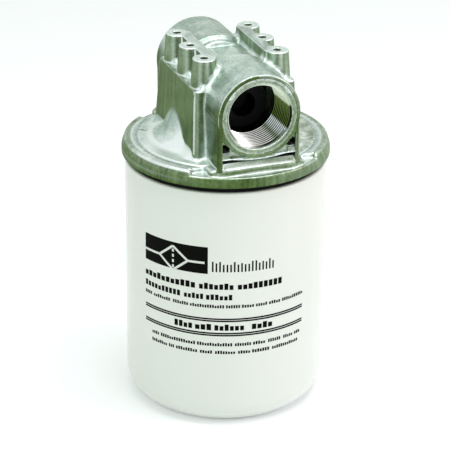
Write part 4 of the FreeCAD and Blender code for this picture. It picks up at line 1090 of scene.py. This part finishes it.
crest_reach = add(tree, "ShaderNodeSeparateXYZ", {0: given["Crest"]}).outputs["X"]
share = add(tree, "ShaderNodeMath", {0: out_of_wall, 1: crest_reach}, operation="DIVIDE")
marked = add(tree, "GeometryNodeStoreNamedAttribute", {"Geometry": ridge, "Name": "crest", "Value": share},
             data_type="FLOAT", domain="POINT")
swept = add(tree, "GeometryNodeCurveToMesh", {"Curve": level, "Profile Curve": marked, "Fill Caps": True})
flat = add(tree, "GeometryNodeSetShadeSmooth", {"Geometry": swept, "Shade Smooth": True})
moved = add(tree, "GeometryNodeTransform", {"Geometry": flat, "Translation": given["Place"],
                                            "Rotation": given["Turn"]})
end_tree(tree, given, moved)
thread_tree, thread_sockets = tree, sockets
thread_sink = 0.2
foot_share = 0.49
crest_share = 0.09


def cut_thread(name, turns, pitch, start_radius, end_radius, depth, place, turn, finish):
    """A helical ridge; a positive depth points to the axis. Its foot is sunk in what carries it."""
    inward = 1 if depth > 0 else -1
    thread = shaped(name, bpy.data.meshes.new(name), thread_tree, thread_sockets, {
        "Turns": float(turns), "Length": turns * pitch * MM,
        "Start radius": start_radius * MM, "End radius": end_radius * MM,
        "Foot": (-inward * thread_sink * MM, inward * foot_share * pitch * MM, 0.0),
        "Crest": (depth * MM, inward * crest_share * pitch * MM, 0.0),
        "Place": [v * MM for v in place], "Turn": turn, "Finish": finish})
    thread.data.set_sharp_from_angle(angle=math.radians(30))
    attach(thread, "head")
    return thread


pipe_pitch = 25.4 / 11.5
pipe_turns = 10.3
pipe_start = 1.5
pipe_depth = 1.5
start_turn = 0.6
start_radius = port_radius - pipe_taper * pipe_start
end_radius = start_radius - pipe_taper * pipe_turns * pipe_pitch
for name, way in (("inlet_thread", -1), ("outlet_thread", 1)):
    thread = cut_thread(name, pipe_turns, pipe_pitch, start_radius, end_radius, pipe_depth,
                        (0, way * (port_reach - pipe_start), port_axis), (way * math.pi / 2, start_turn, 0),
                        cut_aluminium)


# Nipple. Cold-drawn steel tube, zinc plated, with a thread rolled on it, 16 to the inch. It is screwed and
# glued into the head, and the can turns on it.
nipple_bottom, nipple_top = (corner.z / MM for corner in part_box("threaded_nipple"))
nipple_pitch = 25.4 / 16
nipple_bore = 15.2
nipple_core = 18.1
nipple_thread_depth = 0.93
bare_turns = 0.75
nipple = turned("nipple", [
    (nipple_bore, nipple_bottom, 0.4), (nipple_core, nipple_bottom, 0.5), (nipple_core, nipple_top, 0.5),
    (nipple_bore, nipple_top, 0.4),
], zinc_plate, sides=96)
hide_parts("threaded_nipple")
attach(nipple, "head")
nipple_turns = (nipple_top - nipple_bottom) / nipple_pitch - 2 * bare_turns
nipple_thread = cut_thread("nipple_thread", nipple_turns, nipple_pitch, nipple_core, nipple_core,
                           -nipple_thread_depth, (0, 0, nipple_bottom + bare_turns * nipple_pitch),
                           (0, 0, 0), zinc_plate)
